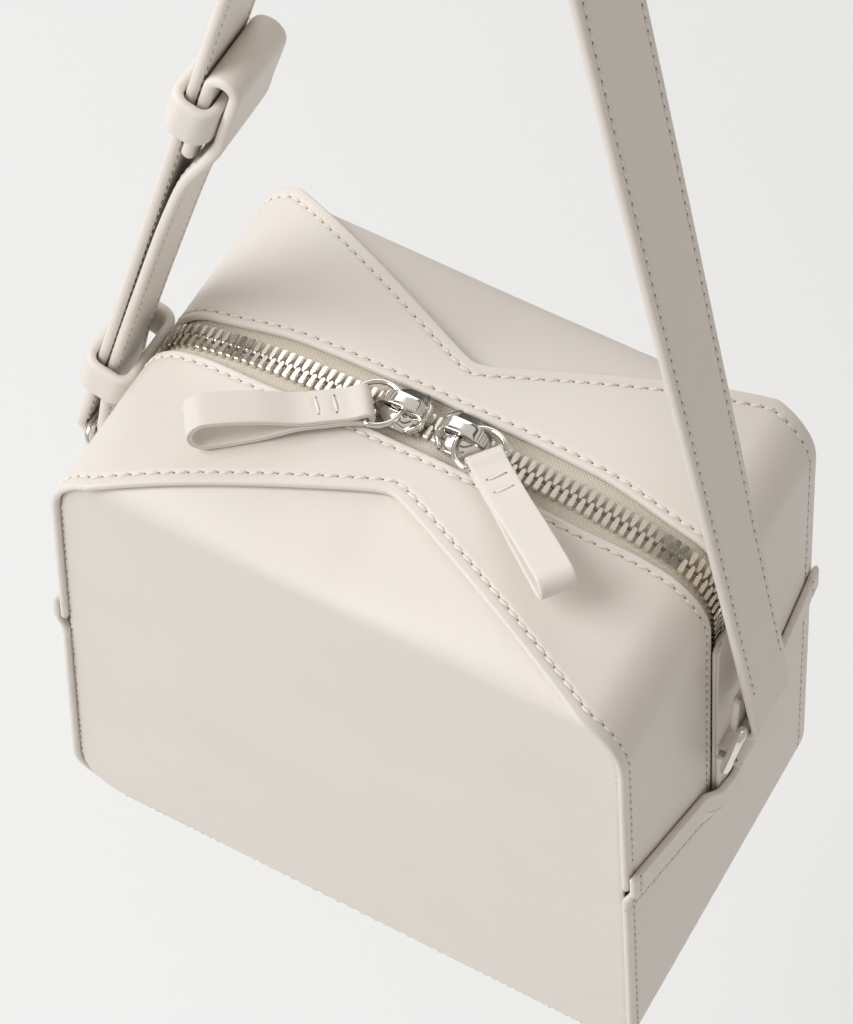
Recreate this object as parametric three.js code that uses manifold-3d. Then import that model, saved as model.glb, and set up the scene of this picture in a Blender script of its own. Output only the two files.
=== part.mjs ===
// A small leather box bag with a two-way zip over its top and an adjustable shoulder strap.
// Sizes are in millimetres. X runs along the bag, Y from its front to its back and Z up.
// The bag is drawn with its base at Z = 0 and its middle on the Z axis, and the whole is then
// moved so that its zero point is where it hangs, at the top of the strap.
import * as THREE from "three";
import { mergeVertices } from "three/addons/utils/BufferGeometryUtils.js";
import Module from "manifold-3d";

const wasm = await Module();
wasm.setup();

// Driving sizes of the bag body
const BAG_LENGTH = 178;      // over the side walls at the top of the ends
const BAG_DEPTH = 114;       // over the front and back panels
const END_HEIGHT = 179;      // height where the arched top meets the ends
const ARCH_RISE = 13.5;      // how much higher the top is at mid-length
const ARCH_POWER = 3.2;      // how late the arch bends down
const BASE_FLARE = 0.12;     // how much longer the base is than the top
const TOP_RADIUS = 20;       // bend at each end of the top
const BASE_RADIUS = 14;      // bend at each end of the base
const LEATHER = 2.2;         // thickness of the leather walls
const PANEL_LEATHER = 2;     // thickness of the front and back panels
const FIT = 0.3;             // gap kept between two pieces

// Driving sizes of the folded panels and the seams
const CREASE_RISE = 7;       // soft fold across each panel above the ends of the arch
const CREASE_SOFTNESS = 4;   // half the height over which the panel bends
const BLANK_SPARE = 8;       // room round a flat blank before it is cut to the outline
const SEAM_NEAREST = 23;     // distance of the pointed seam from the mid-plane
const EDGE_PROUD = 1.5;      // how far a gusset edge stands out past the panel
const HEM_HEIGHT = 113;      // height of the side hem at the front and back
const HEM_DIP = 29;          // how much lower the hem is at mid-depth
const HEM_OVERLAP = 8;       // height where two gussets lie over each other

// Driving sizes of the zip
const SLOT_WIDTH = 17;       // opening between the two top gussets
const SLOT_END_WIDTH = 13;   // where it has closed in, at both ends and down the side walls
const SLOT_EVEN = 45;        // distance from mid-length where it begins to close in
const SLOT_CLOSED = 73;      // distance from mid-length where it has closed in
const TAPE_WIDTH = 12;        // one tape from the middle to its hidden edge
const TAPE_THICKNESS = 0.8;
const CHAIN_WIDTH = 8;
const TOOTH_PITCH = 3.6;
const SLIDER_LENGTH = 15;
const SLIDER_WIDTH = 13.5;
const SLIDER_SPACING = 18.6; // between the middles of the two sliders
const SLIDER_PLATE = 2;      // thickness of a slider's top plate
const SLIDER_FLANGE = 1.2;   // thickness of its two side flanges
const BRIDGE_HEIGHT = 6.5;   // top of its bridge above the leather
const BRIDGE_WIDTH = 4;

// Driving sizes of the pulls
const PULL_WIDTH = 10.5;
const PULL_LENGTH = 48;
const PULL_LEATHER = 1.8;
const PULL_SEWN = 18;        // flat sewn stretch next to the ring
const LEFT_PULL_OPEN = 11;   // height of the open end of each folded pull
const RIGHT_PULL_OPEN = 7;
const RIGHT_PULL_LIFT = 7;   // open end of the right pull above the leather
const LEFT_PULL_HEADING = 217;   // degrees from +X towards +Y
const RIGHT_PULL_HEADING = 322;
const PULL_RING_RADIUS = 7.2;
const PULL_RING_FLAT = 58;   // degrees, half the angle that the ring's straight side spans
const PULL_WIRE = 1.6;

// Driving sizes of the strap and its fittings
const STRAP_THICKNESS = 3.2;
const STRAP_END_WIDTH = 21;  // at the rings
const STRAP_TOP_WIDTH = 26;  // over the shoulder
const STRAP_RISE = 289;      // from the top of the bag to the middle of the strap's top bend
const STRAP_TOP_SHIFT = 7;   // how far the top bend is off the middle of the bag
const STRAP_TOP_RADIUS = 20; // of the middle of the strap in its top bend
const STRAP_TUCK = 14;       // end tucked up behind the strap at the right ring
const STRAP_LAYER_GAP = 0.5;
const RING_WIDTH = 26;       // between the middles of the two side bars
const RING_HEIGHT = 24;      // between the middles of the two long bars
const RING_WIRE = 3;
const RING_OUT = 3;          // room between a ring and the strip behind it
const RING_DROP = 6;         // lower bar below the ends of the hem
const RIGHT_RING_LEAN = 81;  // degrees from level
const LEFT_RING_LEAN = 64;
const TAB_WIDTH = 15;
const TAB_RISE = 47;         // top of the strip above the ends of the hem
const KEEPER_HEIGHT = 15;
const KEEPER_LEATHER = 3;
const KEEPER_SIDE_ROOM = 1.2;  // bulge of a keeper past the strap's edge
const LOWER_KEEPER = 51;     // middle of the lower keeper above the ends of the hem
const UPPER_KEEPER = 195;    // middle of the upper keeper above the ends of the hem
const LOWER_KEEPER_ROOM = 3; // open gap left inside the lower keeper
const ROLL_WIDTH = 7.2;      // across the middle of the strap in its rolled end
const ROLL_RISE = 14;        // middle of the roll above the middle of the upper keeper
const TONGUE = 24;           // end below the middle of the upper keeper

const halfLength = BAG_LENGTH / 2;
const wall = LEATHER + FIT;
const panelHalf = halfLength - wall;
const halfDepth = BAG_DEPTH / 2;
const creaseHeight = END_HEIGHT + CREASE_RISE;
const edgeDepth = halfDepth + EDGE_PROUD;
const up = new THREE.Vector3(0, 0, 1);

// Outline of the panels, seen from the front

function archHeight(x) {
  return END_HEIGHT + ARCH_RISE * (1 - Math.pow(Math.abs(x) / halfLength, ARCH_POWER));
}

function sideAt(z) {
  return panelHalf * (1 + (BASE_FLARE * (END_HEIGHT - z)) / END_HEIGHT);
}

function bend(from, corner, to, steps) {
  // A smooth bend from one straight run into the next, without its first point
  const points = [];
  for (let i = 1; i <= steps; i += 1) {
    const t = i / steps;
    const k = 0.56;
    const a = new THREE.Vector2().lerpVectors(from, corner, k);
    const b = new THREE.Vector2().lerpVectors(to, corner, k);
    const u = 1 - t;
    points.push(new THREE.Vector2(
      u ** 3 * from.x + 3 * u * u * t * a.x + 3 * u * t * t * b.x + t ** 3 * to.x,
      u ** 3 * from.y + 3 * u * u * t * a.y + 3 * u * t * t * b.y + t ** 3 * to.y,
    ));
  }
  return points;
}

function tangentLength(radius, first, second) {
  return radius * Math.tan(Math.acos(first.dot(second)) / 2);
}

function halfOutline() {
  // From the middle of the top, round one end, to the middle of the base
  const endHeight = archHeight(panelHalf);
  const corner = new THREE.Vector2(sideAt(endHeight), endHeight);
  const steepest = (-ARCH_RISE * ARCH_POWER) / halfLength;
  const slope = steepest * Math.pow(panelHalf / halfLength, ARCH_POWER - 1);
  const along = new THREE.Vector2(1, slope).normalize();
  const baseCorner = new THREE.Vector2(sideAt(wall), wall);
  const down = baseCorner.clone().sub(corner).normalize();
  const topRun = tangentLength(TOP_RADIUS, along, down);
  const baseRun = tangentLength(BASE_RADIUS, down, new THREE.Vector2(-1, 0));
  const archEnd = corner.x - topRun * along.x;
  const points = [];
  const archSteps = 40;
  for (let i = 0; i <= archSteps; i += 1) {
    const x = (archEnd * i) / archSteps;
    points.push(new THREE.Vector2(x, archHeight(x)));
  }
  const sideTop = corner.clone().addScaledVector(down, topRun);
  const sideEnd = baseCorner.clone().addScaledVector(down, -baseRun);
  const baseStart = new THREE.Vector2(baseCorner.x - baseRun, wall);
  const archTip = points[points.length - 1];
  points.push(...bend(archTip, corner, sideTop, 20));
  for (let i = 1; i <= 20; i += 1) {
    points.push(new THREE.Vector2().lerpVectors(sideTop, sideEnd, i / 20));
  }
  points.push(...bend(sideEnd, baseCorner, baseStart, 20));
  for (let i = 1; i <= 10; i += 1) {
    points.push(new THREE.Vector2().lerpVectors(baseStart, new THREE.Vector2(0, wall), i / 10));
  }
  return { points, marks: { archTip, sideTop, sideEnd, baseStart } };
}

const outline = halfOutline();
const runs = [0];
for (let i = 1; i < outline.points.length; i += 1) {
  runs.push(runs[i - 1] + outline.points[i].distanceTo(outline.points[i - 1]));
}
const halfRun = runs[runs.length - 1];

function runOf(point) {
  return runs[outline.points.findIndex((p) => p.distanceTo(point) < 1e-6)];
}

function onOutline(run, offset) {
  // The point at a distance along the outline from the top middle, moved outwards by an offset
  const left = run < 0 || run > halfRun;
  let s = Math.abs(run);
  if (s > halfRun) {
    s = 2 * halfRun - s;
  }
  let i = 1;
  while (i < runs.length - 1 && runs[i] < s) {
    i += 1;
  }
  const a = outline.points[i - 1];
  const b = outline.points[i];
  const t = (s - runs[i - 1]) / (runs[i] - runs[i - 1]);
  const before = outline.points[Math.max(0, i - 2)];
  const after = outline.points[Math.min(runs.length - 1, i + 1)];
  const first = new THREE.Vector2().subVectors(b, before).normalize();
  const second = new THREE.Vector2().subVectors(after, a).normalize();
  const tangent = first.lerp(second, t).normalize();
  if (s < 1e-6) {
    tangent.set(1, 0);
  }
  const x = a.x + (b.x - a.x) * t - tangent.y * offset;
  const z = a.y + (b.y - a.y) * t + tangent.x * offset;
  return new THREE.Vector2(left ? -x : x, z);
}

function runAtHeight(z) {
  // Distance along the outline to a height on the straight side wall
  const top = outline.marks.sideTop;
  return runOf(top) + (top.y - z) * Math.hypot(1, (sideAt(0) - sideAt(END_HEIGHT)) / END_HEIGHT);
}

function seamDepth(x) {
  // Distance of the pointed seam from the mid-plane at a place along the bag
  const reach = outline.marks.archTip.x;
  const t = Math.min(1, Math.abs(x) / reach);
  return SEAM_NEAREST + (halfDepth - SEAM_NEAREST) * t;
}

function slotHalf(x) {
  // Half the opening between the top gussets at a place along the bag
  const share = THREE.MathUtils.smoothstep(Math.abs(x), SLOT_EVEN, SLOT_CLOSED);
  return (SLOT_WIDTH + (SLOT_END_WIDTH - SLOT_WIDTH) * share) / 2;
}

function hemHeight(y) {
  return HEM_HEIGHT - HEM_DIP * (1 - Math.abs(y) / edgeDepth);
}

// Building blocks for closed bodies

function body(points, triangles) {
  // A closed mesh from points and triangles, turned to face outwards
  let volume = 0;
  for (const [a, b, c] of triangles) {
    volume += points[a].dot(new THREE.Vector3().crossVectors(points[b], points[c]));
  }
  const positions = points.flatMap((p) => [p.x, p.y, p.z]);
  const index = triangles.flatMap(([a, b, c]) => (volume > 0 ? [a, b, c] : [a, c, b]));
  const geometry = new THREE.BufferGeometry();
  geometry.setAttribute("position", new THREE.Float32BufferAttribute(positions, 3));
  geometry.setIndex(index);
  return geometry;
}

function sheet(rows, columns, place) {
  // A thick sheet: place(i, j, side) gives its outer points for side 1 and inner ones for side 0
  const points = [];
  const triangles = [];
  const at = (i, j, side) => (i * columns + j) * 2 + side;
  const quad = (a, b, c, d) => triangles.push([a, b, c], [a, c, d]);
  for (let i = 0; i < rows; i += 1) {
    for (let j = 0; j < columns; j += 1) {
      points.push(place(i, j, 0), place(i, j, 1));
    }
  }
  for (let i = 0; i + 1 < rows; i += 1) {
    for (let j = 0; j + 1 < columns; j += 1) {
      quad(at(i, j, 1), at(i + 1, j, 1), at(i + 1, j + 1, 1), at(i, j + 1, 1));
      quad(at(i, j, 0), at(i, j + 1, 0), at(i + 1, j + 1, 0), at(i + 1, j, 0));
    }
    quad(at(i, 0, 0), at(i + 1, 0, 0), at(i + 1, 0, 1), at(i, 0, 1));
    const last = columns - 1;
    quad(at(i, last, 1), at(i + 1, last, 1), at(i + 1, last, 0), at(i, last, 0));
  }
  for (let j = 0; j + 1 < columns; j += 1) {
    quad(at(0, j, 1), at(0, j + 1, 1), at(0, j + 1, 0), at(0, j, 0));
    const last = rows - 1;
    quad(at(last, j, 0), at(last, j + 1, 0), at(last, j + 1, 1), at(last, j, 1));
  }
  return body(points, triangles);
}

function sectionRing(halfWidth, halfThickness, chamfer) {
  // Corners of a flat bar with its edges taken off, as [across, out] pairs
  const w = halfWidth;
  const t = halfThickness;
  const c = chamfer;
  return [
    [w - c, t], [w, t - c], [w, c - t], [w - c, -t],
    [c - w, -t], [-w, c - t], [-w, t - c], [c - w, t],
  ];
}

function band(path, closed, sizeAt, place) {
  // A flat bar along a path of 2D points; place(point, normal, out, across) gives a 3D point
  const count = path.length;
  const points = [];
  const triangles = [];
  const sides = 8;
  for (let i = 0; i < count; i += 1) {
    const before = path[closed ? (i + count - 1) % count : Math.max(0, i - 1)];
    const after = path[closed ? (i + 1) % count : Math.min(count - 1, i + 1)];
    const into = new THREE.Vector2().subVectors(path[i], before).normalize();
    const onward = new THREE.Vector2().subVectors(after, path[i]).normalize();
    const tangent = into.clone().add(onward).normalize();
    const stretch = 1 / Math.max(0.5, Math.abs(tangent.dot(into.lengthSq() ? into : onward)));
    const normal = new THREE.Vector2(-tangent.y, tangent.x);
    const { width, thickness } = sizeAt(i);
    const ring = sectionRing(width / 2, thickness / 2, 0.2 * thickness);
    for (const [across, out] of ring) {
      points.push(place(path[i].clone().addScaledVector(normal, out * stretch), across));
    }
  }
  const last = closed ? count : count - 1;
  for (let i = 0; i < last; i += 1) {
    for (let k = 0; k < sides; k += 1) {
      const a = i * sides + k;
      const b = i * sides + ((k + 1) % sides);
      const c = ((i + 1) % count) * sides + ((k + 1) % sides);
      const d = ((i + 1) % count) * sides + k;
      triangles.push([a, b, c], [a, c, d]);
    }
  }
  if (!closed) {
    const end = (count - 1) * sides;
    for (let k = 1; k + 1 < sides; k += 1) {
      triangles.push([0, k + 1, k], [end, end + k, end + k + 1]);
    }
  }
  return body(points, triangles);
}

function arc(centre, radius, from, to, steps) {
  // Points round part of a circle, angles in degrees, both ends included
  const points = [];
  for (let i = 0; i <= steps; i += 1) {
    const angle = THREE.MathUtils.degToRad(from + ((to - from) * i) / steps);
    points.push(new THREE.Vector2(
      centre.x + radius * Math.cos(angle),
      centre.y + radius * Math.sin(angle),
    ));
  }
  return points;
}

function roundedRectangle(width, height, radius, steps) {
  const w = width / 2 - radius;
  const h = height / 2 - radius;
  return [
    ...arc(new THREE.Vector2(w, h), radius, 0, 90, steps),
    ...arc(new THREE.Vector2(-w, h), radius, 90, 180, steps),
    ...arc(new THREE.Vector2(-w, -h), radius, 180, 270, steps),
    ...arc(new THREE.Vector2(w, -h), radius, 270, 360, steps),
  ];
}

function wireLoop(path, wire, sides, place) {
  // A round wire bent into a closed loop in one plane
  const points = [];
  const triangles = [];
  const count = path.length;
  for (let i = 0; i < count; i += 1) {
    const before = path[(i + count - 1) % count];
    const after = path[(i + 1) % count];
    const tangent = new THREE.Vector2().subVectors(after, before).normalize();
    const normal = new THREE.Vector2(-tangent.y, tangent.x);
    for (let k = 0; k < sides; k += 1) {
      const angle = (2 * Math.PI * (k + 0.5)) / sides;
      const spot = path[i].clone().addScaledVector(normal, (wire / 2) * Math.cos(angle));
      points.push(place(spot, (wire / 2) * Math.sin(angle)));
    }
  }
  for (let i = 0; i < count; i += 1) {
    for (let k = 0; k < sides; k += 1) {
      const a = i * sides + k;
      const b = i * sides + ((k + 1) % sides);
      const c = ((i + 1) % count) * sides + ((k + 1) % sides);
      const d = ((i + 1) % count) * sides + k;
      triangles.push([a, b, c], [a, c, d]);
    }
  }
  return body(points, triangles);
}

function solid(geometry) {
  const bare = geometry.clone();
  bare.deleteAttribute("normal");
  bare.deleteAttribute("uv");
  const merged = mergeVertices(bare, 1e-4);
  return new wasm.Manifold(new wasm.Mesh({
    numProp: 3,
    vertProperties: new Float32Array(merged.attributes.position.array),
    triVerts: new Uint32Array(merged.index.array),
  }));
}

function geometryOf(manifold) {
  const mesh = manifold.getMesh();
  const geometry = new THREE.BufferGeometry();
  const positions = [];
  for (let i = 0; i < mesh.numVert; i += 1) {
    for (let k = 0; k < 3; k += 1) {
      positions.push(mesh.vertProperties[i * mesh.numProp + k]);
    }
  }
  geometry.setAttribute("position", new THREE.Float32BufferAttribute(positions, 3));
  geometry.setIndex(Array.from(mesh.triVerts));
  return geometry;
}

function steps(from, to, count) {
  // Evenly spaced values from one to the other, both included
  return Array.from({ length: count + 1 }, (_, i) => from + ((to - from) * i) / count);
}

// Front and back panels: one folded sheet each, cut to the outline

function foldedSheet() {
  // The fold leans back towards the pointed seam and fades out at the ends
  const reach = outline.marks.archTip.x;
  const far = sideAt(0) + BLANK_SPARE;
  const beyond = reach + BLANK_SPARE / 2;
  const stations = [-far, -beyond, ...steps(-reach, reach, 20), beyond, far];
  const soft = CREASE_SOFTNESS;
  const risen = (t) => (t < -soft ? 0 : t > soft ? t : ((t + soft) ** 2) / (4 * soft));
  const outer = stations.map((x) => {
    const top = archHeight(Math.min(Math.abs(x), reach));
    const lean = (halfDepth - seamDepth(x)) / risen(top - creaseHeight);
    const bent = steps(creaseHeight - soft, creaseHeight + soft, 4);
    const heights = [-BLANK_SPARE, ...bent, top + BLANK_SPARE];
    return heights.map((z) => new THREE.Vector2(-halfDepth + lean * risen(z - creaseHeight), z));
  });
  return sheet(stations.length, outer[0].length, (i, j, side) => {
    const line = outer[i];
    const before = line[Math.max(0, j - 1)];
    const after = line[Math.min(line.length - 1, j + 1)];
    const tangent = new THREE.Vector2().subVectors(after, before).normalize();
    const inwards = side ? 0 : PANEL_LEATHER;
    const y = line[j].x + tangent.y * inwards;
    const z = line[j].y - tangent.x * inwards;
    return new THREE.Vector3(stations[i], y, z);
  });
}

function panelBlank() {
  // A block with the outline of the panels, from in front of the bag to its mid-plane
  const marks = outline.marks;
  const runStations = [
    ...steps(0, runOf(marks.archTip), 10),
    ...steps(runOf(marks.archTip), runOf(marks.sideTop), 6).slice(1),
    ...steps(runOf(marks.sideEnd), runOf(marks.baseStart), 6),
  ];
  const right = runStations.map((run) => onOutline(run, 0));
  const left = right.slice(1).reverse().map((p) => new THREE.Vector2(-p.x, p.y));
  const shape = new THREE.Shape([...right, ...left]);
  const depth = halfDepth + BLANK_SPARE;
  const block = new THREE.ExtrudeGeometry(shape, { depth, bevelEnabled: false });
  block.rotateX(Math.PI / 2);
  return block;
}

function frontPanel() {
  return geometryOf(solid(panelBlank()).intersect(solid(foldedSheet())));
}

// Top gussets: one on each side of the zip, over the top and half way down both ends

function topGusset() {
  const marks = outline.marks;
  const half = [
    ...steps(0, runOf(marks.archTip), 9),
    ...steps(runOf(marks.archTip), runOf(marks.sideTop), 6).slice(1),
  ];
  const middle = [...half.slice(1).reverse().map((run) => -run), ...half];
  const rows = middle.length + 2;
  const columns = 4;
  return sheet(rows, columns, (i, j, side) => {
    // The first and last rows are the two ends, cut to the slant of the hem
    const atEnd = i === 0 || i === rows - 1;
    const part = j / (columns - 1);
    const yEnd = -(SLOT_END_WIDTH / 2) * (1 - part) - edgeDepth * part;
    const endRun = runAtHeight(hemHeight(yEnd) - HEM_OVERLAP);
    const run = atEnd ? (i ? endRun : -endRun) : middle[i - 1];
    const place = onOutline(run, 0).x;
    const seam = atEnd ? edgeDepth : seamDepth(place) + EDGE_PROUD;
    const y = -slotHalf(place) * (1 - part) - seam * part;
    const spot = onOutline(run, side ? wall : FIT);
    return new THREE.Vector3(spot.x, y, spot.y);
  });
}

// Base gusset: the band under the bag and up both ends, folded double at its hem

const tabBulge = 0.6 * TAB_WIDTH;  // half width of the hem's bulge over the ring tab
const tabFade = 0.4 * TAB_WIDTH;   // width in which the bulge fades out

function hemLift(y) {
  // Extra room where the ring tab comes out from behind the hem
  const t = (Math.abs(y) - tabBulge) / tabFade;
  return wall * (1 - Math.min(1, Math.max(0, t)));
}

function baseGusset() {
  const marks = outline.marks;
  const low = steps(runOf(marks.sideEnd), runOf(marks.baseStart), 6);
  const drops = [0, 1.1, 2.1, 3.1].map((share) => share * HEM_OVERLAP);
  const outwards = [tabBulge, tabBulge + tabFade, edgeDepth / 2, edgeDepth];
  const across = [...outwards.map((y) => -y).reverse(), 0, ...outwards];
  const rows = 2 * (drops.length + low.length);
  return sheet(rows, across.length, (i, j, side) => {
    const mirrored = i >= rows / 2;
    const k = mirrored ? rows - 1 - i : i;
    const y = across[j];
    let run;
    let lift = 0;
    if (k < drops.length) {
      run = runAtHeight(hemHeight(y) - drops[k]);
      lift = k < 2 ? wall + hemLift(y) : k === 2 ? 0.35 * hemLift(y) : 0;
    } else {
      run = low[k - drops.length];
    }
    const offset = (side ? wall : FIT) + lift;
    const spot = onOutline(mirrored ? 2 * halfRun - run : run, offset);
    return new THREE.Vector3(spot.x, y, spot.y);
  });
}

// Zip: two tapes under the gusset edges and one chain of closed teeth

const zipEndRun = runAtHeight(hemHeight(0) + HEM_OVERLAP / 2);

function zipTape(side) {
  const marks = outline.marks;
  const half = [
    ...steps(0, runOf(marks.archTip), 7),
    ...steps(runOf(marks.archTip), runOf(marks.sideTop), 6).slice(1),
    zipEndRun,
  ];
  const stations = [...half.slice(1).reverse().map((run) => -run), ...half];
  return sheet(stations.length, 2, (i, j, outerSide) => {
    const y = side * (j ? TAPE_WIDTH : FIT / 2);
    const spot = onOutline(stations[i], outerSide ? -FIT / 2 : -FIT / 2 - TAPE_THICKNESS);
    return new THREE.Vector3(spot.x, y, spot.y);
  });
}

function zipChain() {
  // Teeth of the two sides take turns, so the bar is wide on one side where it is narrow on the other
  const count = 2 * Math.floor((zipEndRun - TOOTH_PITCH / 2) / TOOTH_PITCH);
  const start = (-count * TOOTH_PITCH) / 2;
  const stations = [];
  for (let tooth = 0; tooth < count; tooth += 1) {
    const from = start + tooth * TOOTH_PITCH;
    stations.push(
      { run: from, front: true }, { run: from + 0.46 * TOOTH_PITCH, front: true },
      { run: from + 0.5 * TOOTH_PITCH, front: false }, { run: from + 0.96 * TOOTH_PITCH, front: false },
    );
  }
  const wide = CHAIN_WIDTH / 2;
  const narrow = CHAIN_WIDTH * 0.18;
  return sheet(stations.length, 2, (i, j, outerSide) => {
    const { run, front } = stations[i];
    const y = j ? (front ? narrow : wide) : front ? -wide : -narrow;
    const spot = onOutline(run, outerSide ? wall - FIT : FIT / 2);
    return new THREE.Vector3(spot.x, y, spot.y);
  });
}

function zipSlider(direction) {
  // A top plate over the chain, two side flanges and a bridge that holds the pull ring
  const l = SLIDER_LENGTH / 2;
  const w = SLIDER_WIDTH / 2;
  const h = BRIDGE_HEIGHT;
  const plan = new THREE.Shape([
    new THREE.Vector2(-l, -0.72 * w),
    new THREE.Vector2(-0.7 * l, -w),
    new THREE.Vector2(0.35 * l, -w),
    new THREE.Vector2(l, -0.5 * w),
    new THREE.Vector2(l, 0.5 * w),
    new THREE.Vector2(0.35 * l, w),
    new THREE.Vector2(-0.7 * l, w),
    new THREE.Vector2(-l, 0.72 * w),
  ]);
  const bevel = 0.2 * SLIDER_PLATE;
  const plate = new THREE.ExtrudeGeometry(plan, {
    depth: SLIDER_PLATE - 2 * bevel, bevelSize: bevel, bevelThickness: bevel, bevelSegments: 2,
  });
  plate.translate(0, 0, FIT + bevel);
  const plateTop = FIT + SLIDER_PLATE;
  const foot = -0.6 * wall;
  const flangeHeight = plateTop / 2 - foot;
  const flangeY = (CHAIN_WIDTH + SLIDER_FLANGE) / 2 + FIT;
  const bridge = new THREE.Shape([
    new THREE.Vector2(-0.85 * l, plateTop - FIT),
    new THREE.Vector2(-0.8 * l, 0.8 * h),
    new THREE.Vector2(-0.55 * l, h),
    new THREE.Vector2(0.35 * l, 0.97 * h),
    new THREE.Vector2(0.75 * l, 0.68 * h),
    new THREE.Vector2(0.85 * l, plateTop - FIT),
  ]);
  bridge.holes.push(new THREE.Path([
    new THREE.Vector2(-0.62 * l, plateTop + FIT / 3),
    new THREE.Vector2(0.52 * l, plateTop + FIT / 3),
    new THREE.Vector2(0.3 * l, 0.78 * h),
    new THREE.Vector2(-0.5 * l, 0.8 * h),
  ]));
  const strip = new THREE.ExtrudeGeometry(bridge, { depth: BRIDGE_WIDTH, bevelEnabled: false });
  strip.rotateX(Math.PI / 2);
  strip.translate(0, BRIDGE_WIDTH / 2, 0);
  let whole = solid(plate).add(solid(strip));
  for (const side of [-1, 1]) {
    const flange = new THREE.BoxGeometry(0.6 * SLIDER_LENGTH, SLIDER_FLANGE, flangeHeight);
    flange.translate(-0.13 * l, side * flangeY, foot + flangeHeight / 2);
    whole = whole.add(solid(flange));
  }
  const geometry = geometryOf(whole);
  if (direction < 0) {
    geometry.rotateZ(Math.PI);
  }
  const run = (direction * SLIDER_SPACING) / 2;
  const spot = onOutline(run, wall);
  const tilt = onOutline(run + 1, wall).sub(onOutline(run - 1, wall));
  geometry.rotateY(-Math.atan2(tilt.y, tilt.x));
  geometry.translate(spot.x, 0, spot.y);
  return geometry;
}

// Pulls: a wire ring through the slider bridge and a folded leather loop through the ring

const pullTable = [
  { name: "left", direction: -1, heading: LEFT_PULL_HEADING, open: LEFT_PULL_OPEN, lift: 0 },
  {
    name: "right", direction: 1, heading: RIGHT_PULL_HEADING, open: RIGHT_PULL_OPEN,
    lift: RIGHT_PULL_LIFT,
  },
];

const pullBar = PULL_RING_RADIUS * Math.cos(THREE.MathUtils.degToRad(PULL_RING_FLAT));

function pullMiddle(pull) {
  // The ring hangs in the slot of the bridge, a little in front of the mid-plane
  const x = pull.direction * (SLIDER_SPACING / 2 + 0.45 * SLIDER_LENGTH);
  const z = onOutline(SLIDER_SPACING / 2, wall).y + 0.58 * BRIDGE_HEIGHT;
  return new THREE.Vector3(x, -0.42 * PULL_RING_RADIUS, z);
}

function pullRing(pull) {
  // Round towards the slider and straight where the leather folds over it
  const centre = pullMiddle(pull);
  const heading = THREE.MathUtils.degToRad(pull.heading);
  const ahead = new THREE.Vector3(Math.cos(heading), Math.sin(heading), 0);
  const side = new THREE.Vector3(-Math.sin(heading), Math.cos(heading), 0);
  const start = PULL_RING_FLAT;
  const path = arc(new THREE.Vector2(0, 0), PULL_RING_RADIUS, start, 360 - start, 18);
  return wireLoop(path, PULL_WIRE, 8, (spot, out) =>
    centre.clone()
      .addScaledVector(ahead, spot.x)
      .addScaledVector(side, spot.y)
      .addScaledVector(up, out));
}

function pullLoop(pull) {
  // Side view of the folded strip: round the ring, flat where it is sewn, open at the far end
  const grip = PULL_WIRE / 2 + FIT + PULL_LEATHER / 2;
  const flat = (PULL_LEATHER + FIT) / 2;
  const bulb = pull.open / 2;
  const far = PULL_LENGTH - bulb;
  const path = [
    ...arc(new THREE.Vector2(0, 0), grip, 90, 270, 6),
    new THREE.Vector2(0.22 * PULL_SEWN, -flat),
    new THREE.Vector2(PULL_SEWN, -1.1 * flat),
    new THREE.Vector2(0.62 * PULL_LENGTH, -0.75 * bulb),
    ...arc(new THREE.Vector2(far, 0), bulb, -70, 70, 8),
    new THREE.Vector2(0.62 * PULL_LENGTH, 0.75 * bulb),
    new THREE.Vector2(PULL_SEWN, 1.1 * flat),
    new THREE.Vector2(0.22 * PULL_SEWN, flat),
  ];
  const heading = THREE.MathUtils.degToRad(pull.heading);
  const ahead = new THREE.Vector3(Math.cos(heading), Math.sin(heading), 0);
  const side = new THREE.Vector3(-Math.sin(heading), Math.cos(heading), 0);
  const start = pullMiddle(pull).addScaledVector(ahead, pullBar);
  const rest = bulb + PULL_LEATHER / 2 + 4 * FIT + pull.lift;
  const farSpot = start.clone().addScaledVector(ahead, far);
  const drop = start.z - (onOutline(farSpot.x, wall).y + rest);
  const tip = Math.atan2(drop, far);
  return band(path, true, () => ({ width: PULL_WIDTH, thickness: PULL_LEATHER }), (spot, across) =>
    start.clone()
      .addScaledVector(ahead, spot.x * Math.cos(tip) + spot.y * Math.sin(tip))
      .addScaledVector(up, spot.y * Math.cos(tip) - spot.x * Math.sin(tip))
      .addScaledVector(side, across));
}

// Strap rings and the tabs that hold them at the hem

const tabWall = onOutline(runAtHeight(HEM_HEIGHT), wall + FIT + LEATHER / 2);
const lowerBar = new THREE.Vector2(
  tabWall.x + LEATHER / 2 + RING_OUT + RING_WIRE / 2,
  HEM_HEIGHT - RING_DROP,
);
const ringTable = [
  { name: "right", direction: 1, lean: RIGHT_RING_LEAN },
  { name: "left", direction: -1, lean: LEFT_RING_LEAN },
];

function upperBar(ring) {
  // Middle of the bar the strap goes round, with X mirrored on the left side
  const lean = THREE.MathUtils.degToRad(ring.lean);
  return new THREE.Vector2(
    ring.direction * (lowerBar.x + RING_HEIGHT * Math.cos(lean)),
    lowerBar.y + RING_HEIGHT * Math.sin(lean),
  );
}

function strapRing(ring) {
  const lean = THREE.MathUtils.degToRad(ring.lean);
  const path = roundedRectangle(RING_WIDTH, RING_HEIGHT, RING_WIRE, 4);
  return wireLoop(path, RING_WIRE, 10, (spot, out) => {
    const rise = spot.y + RING_HEIGHT / 2;
    const x = lowerBar.x + rise * Math.cos(lean) + out * Math.sin(lean);
    const z = lowerBar.y + rise * Math.sin(lean) - out * Math.cos(lean);
    return new THREE.Vector3(ring.direction * x, spot.x, z);
  });
}

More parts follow.
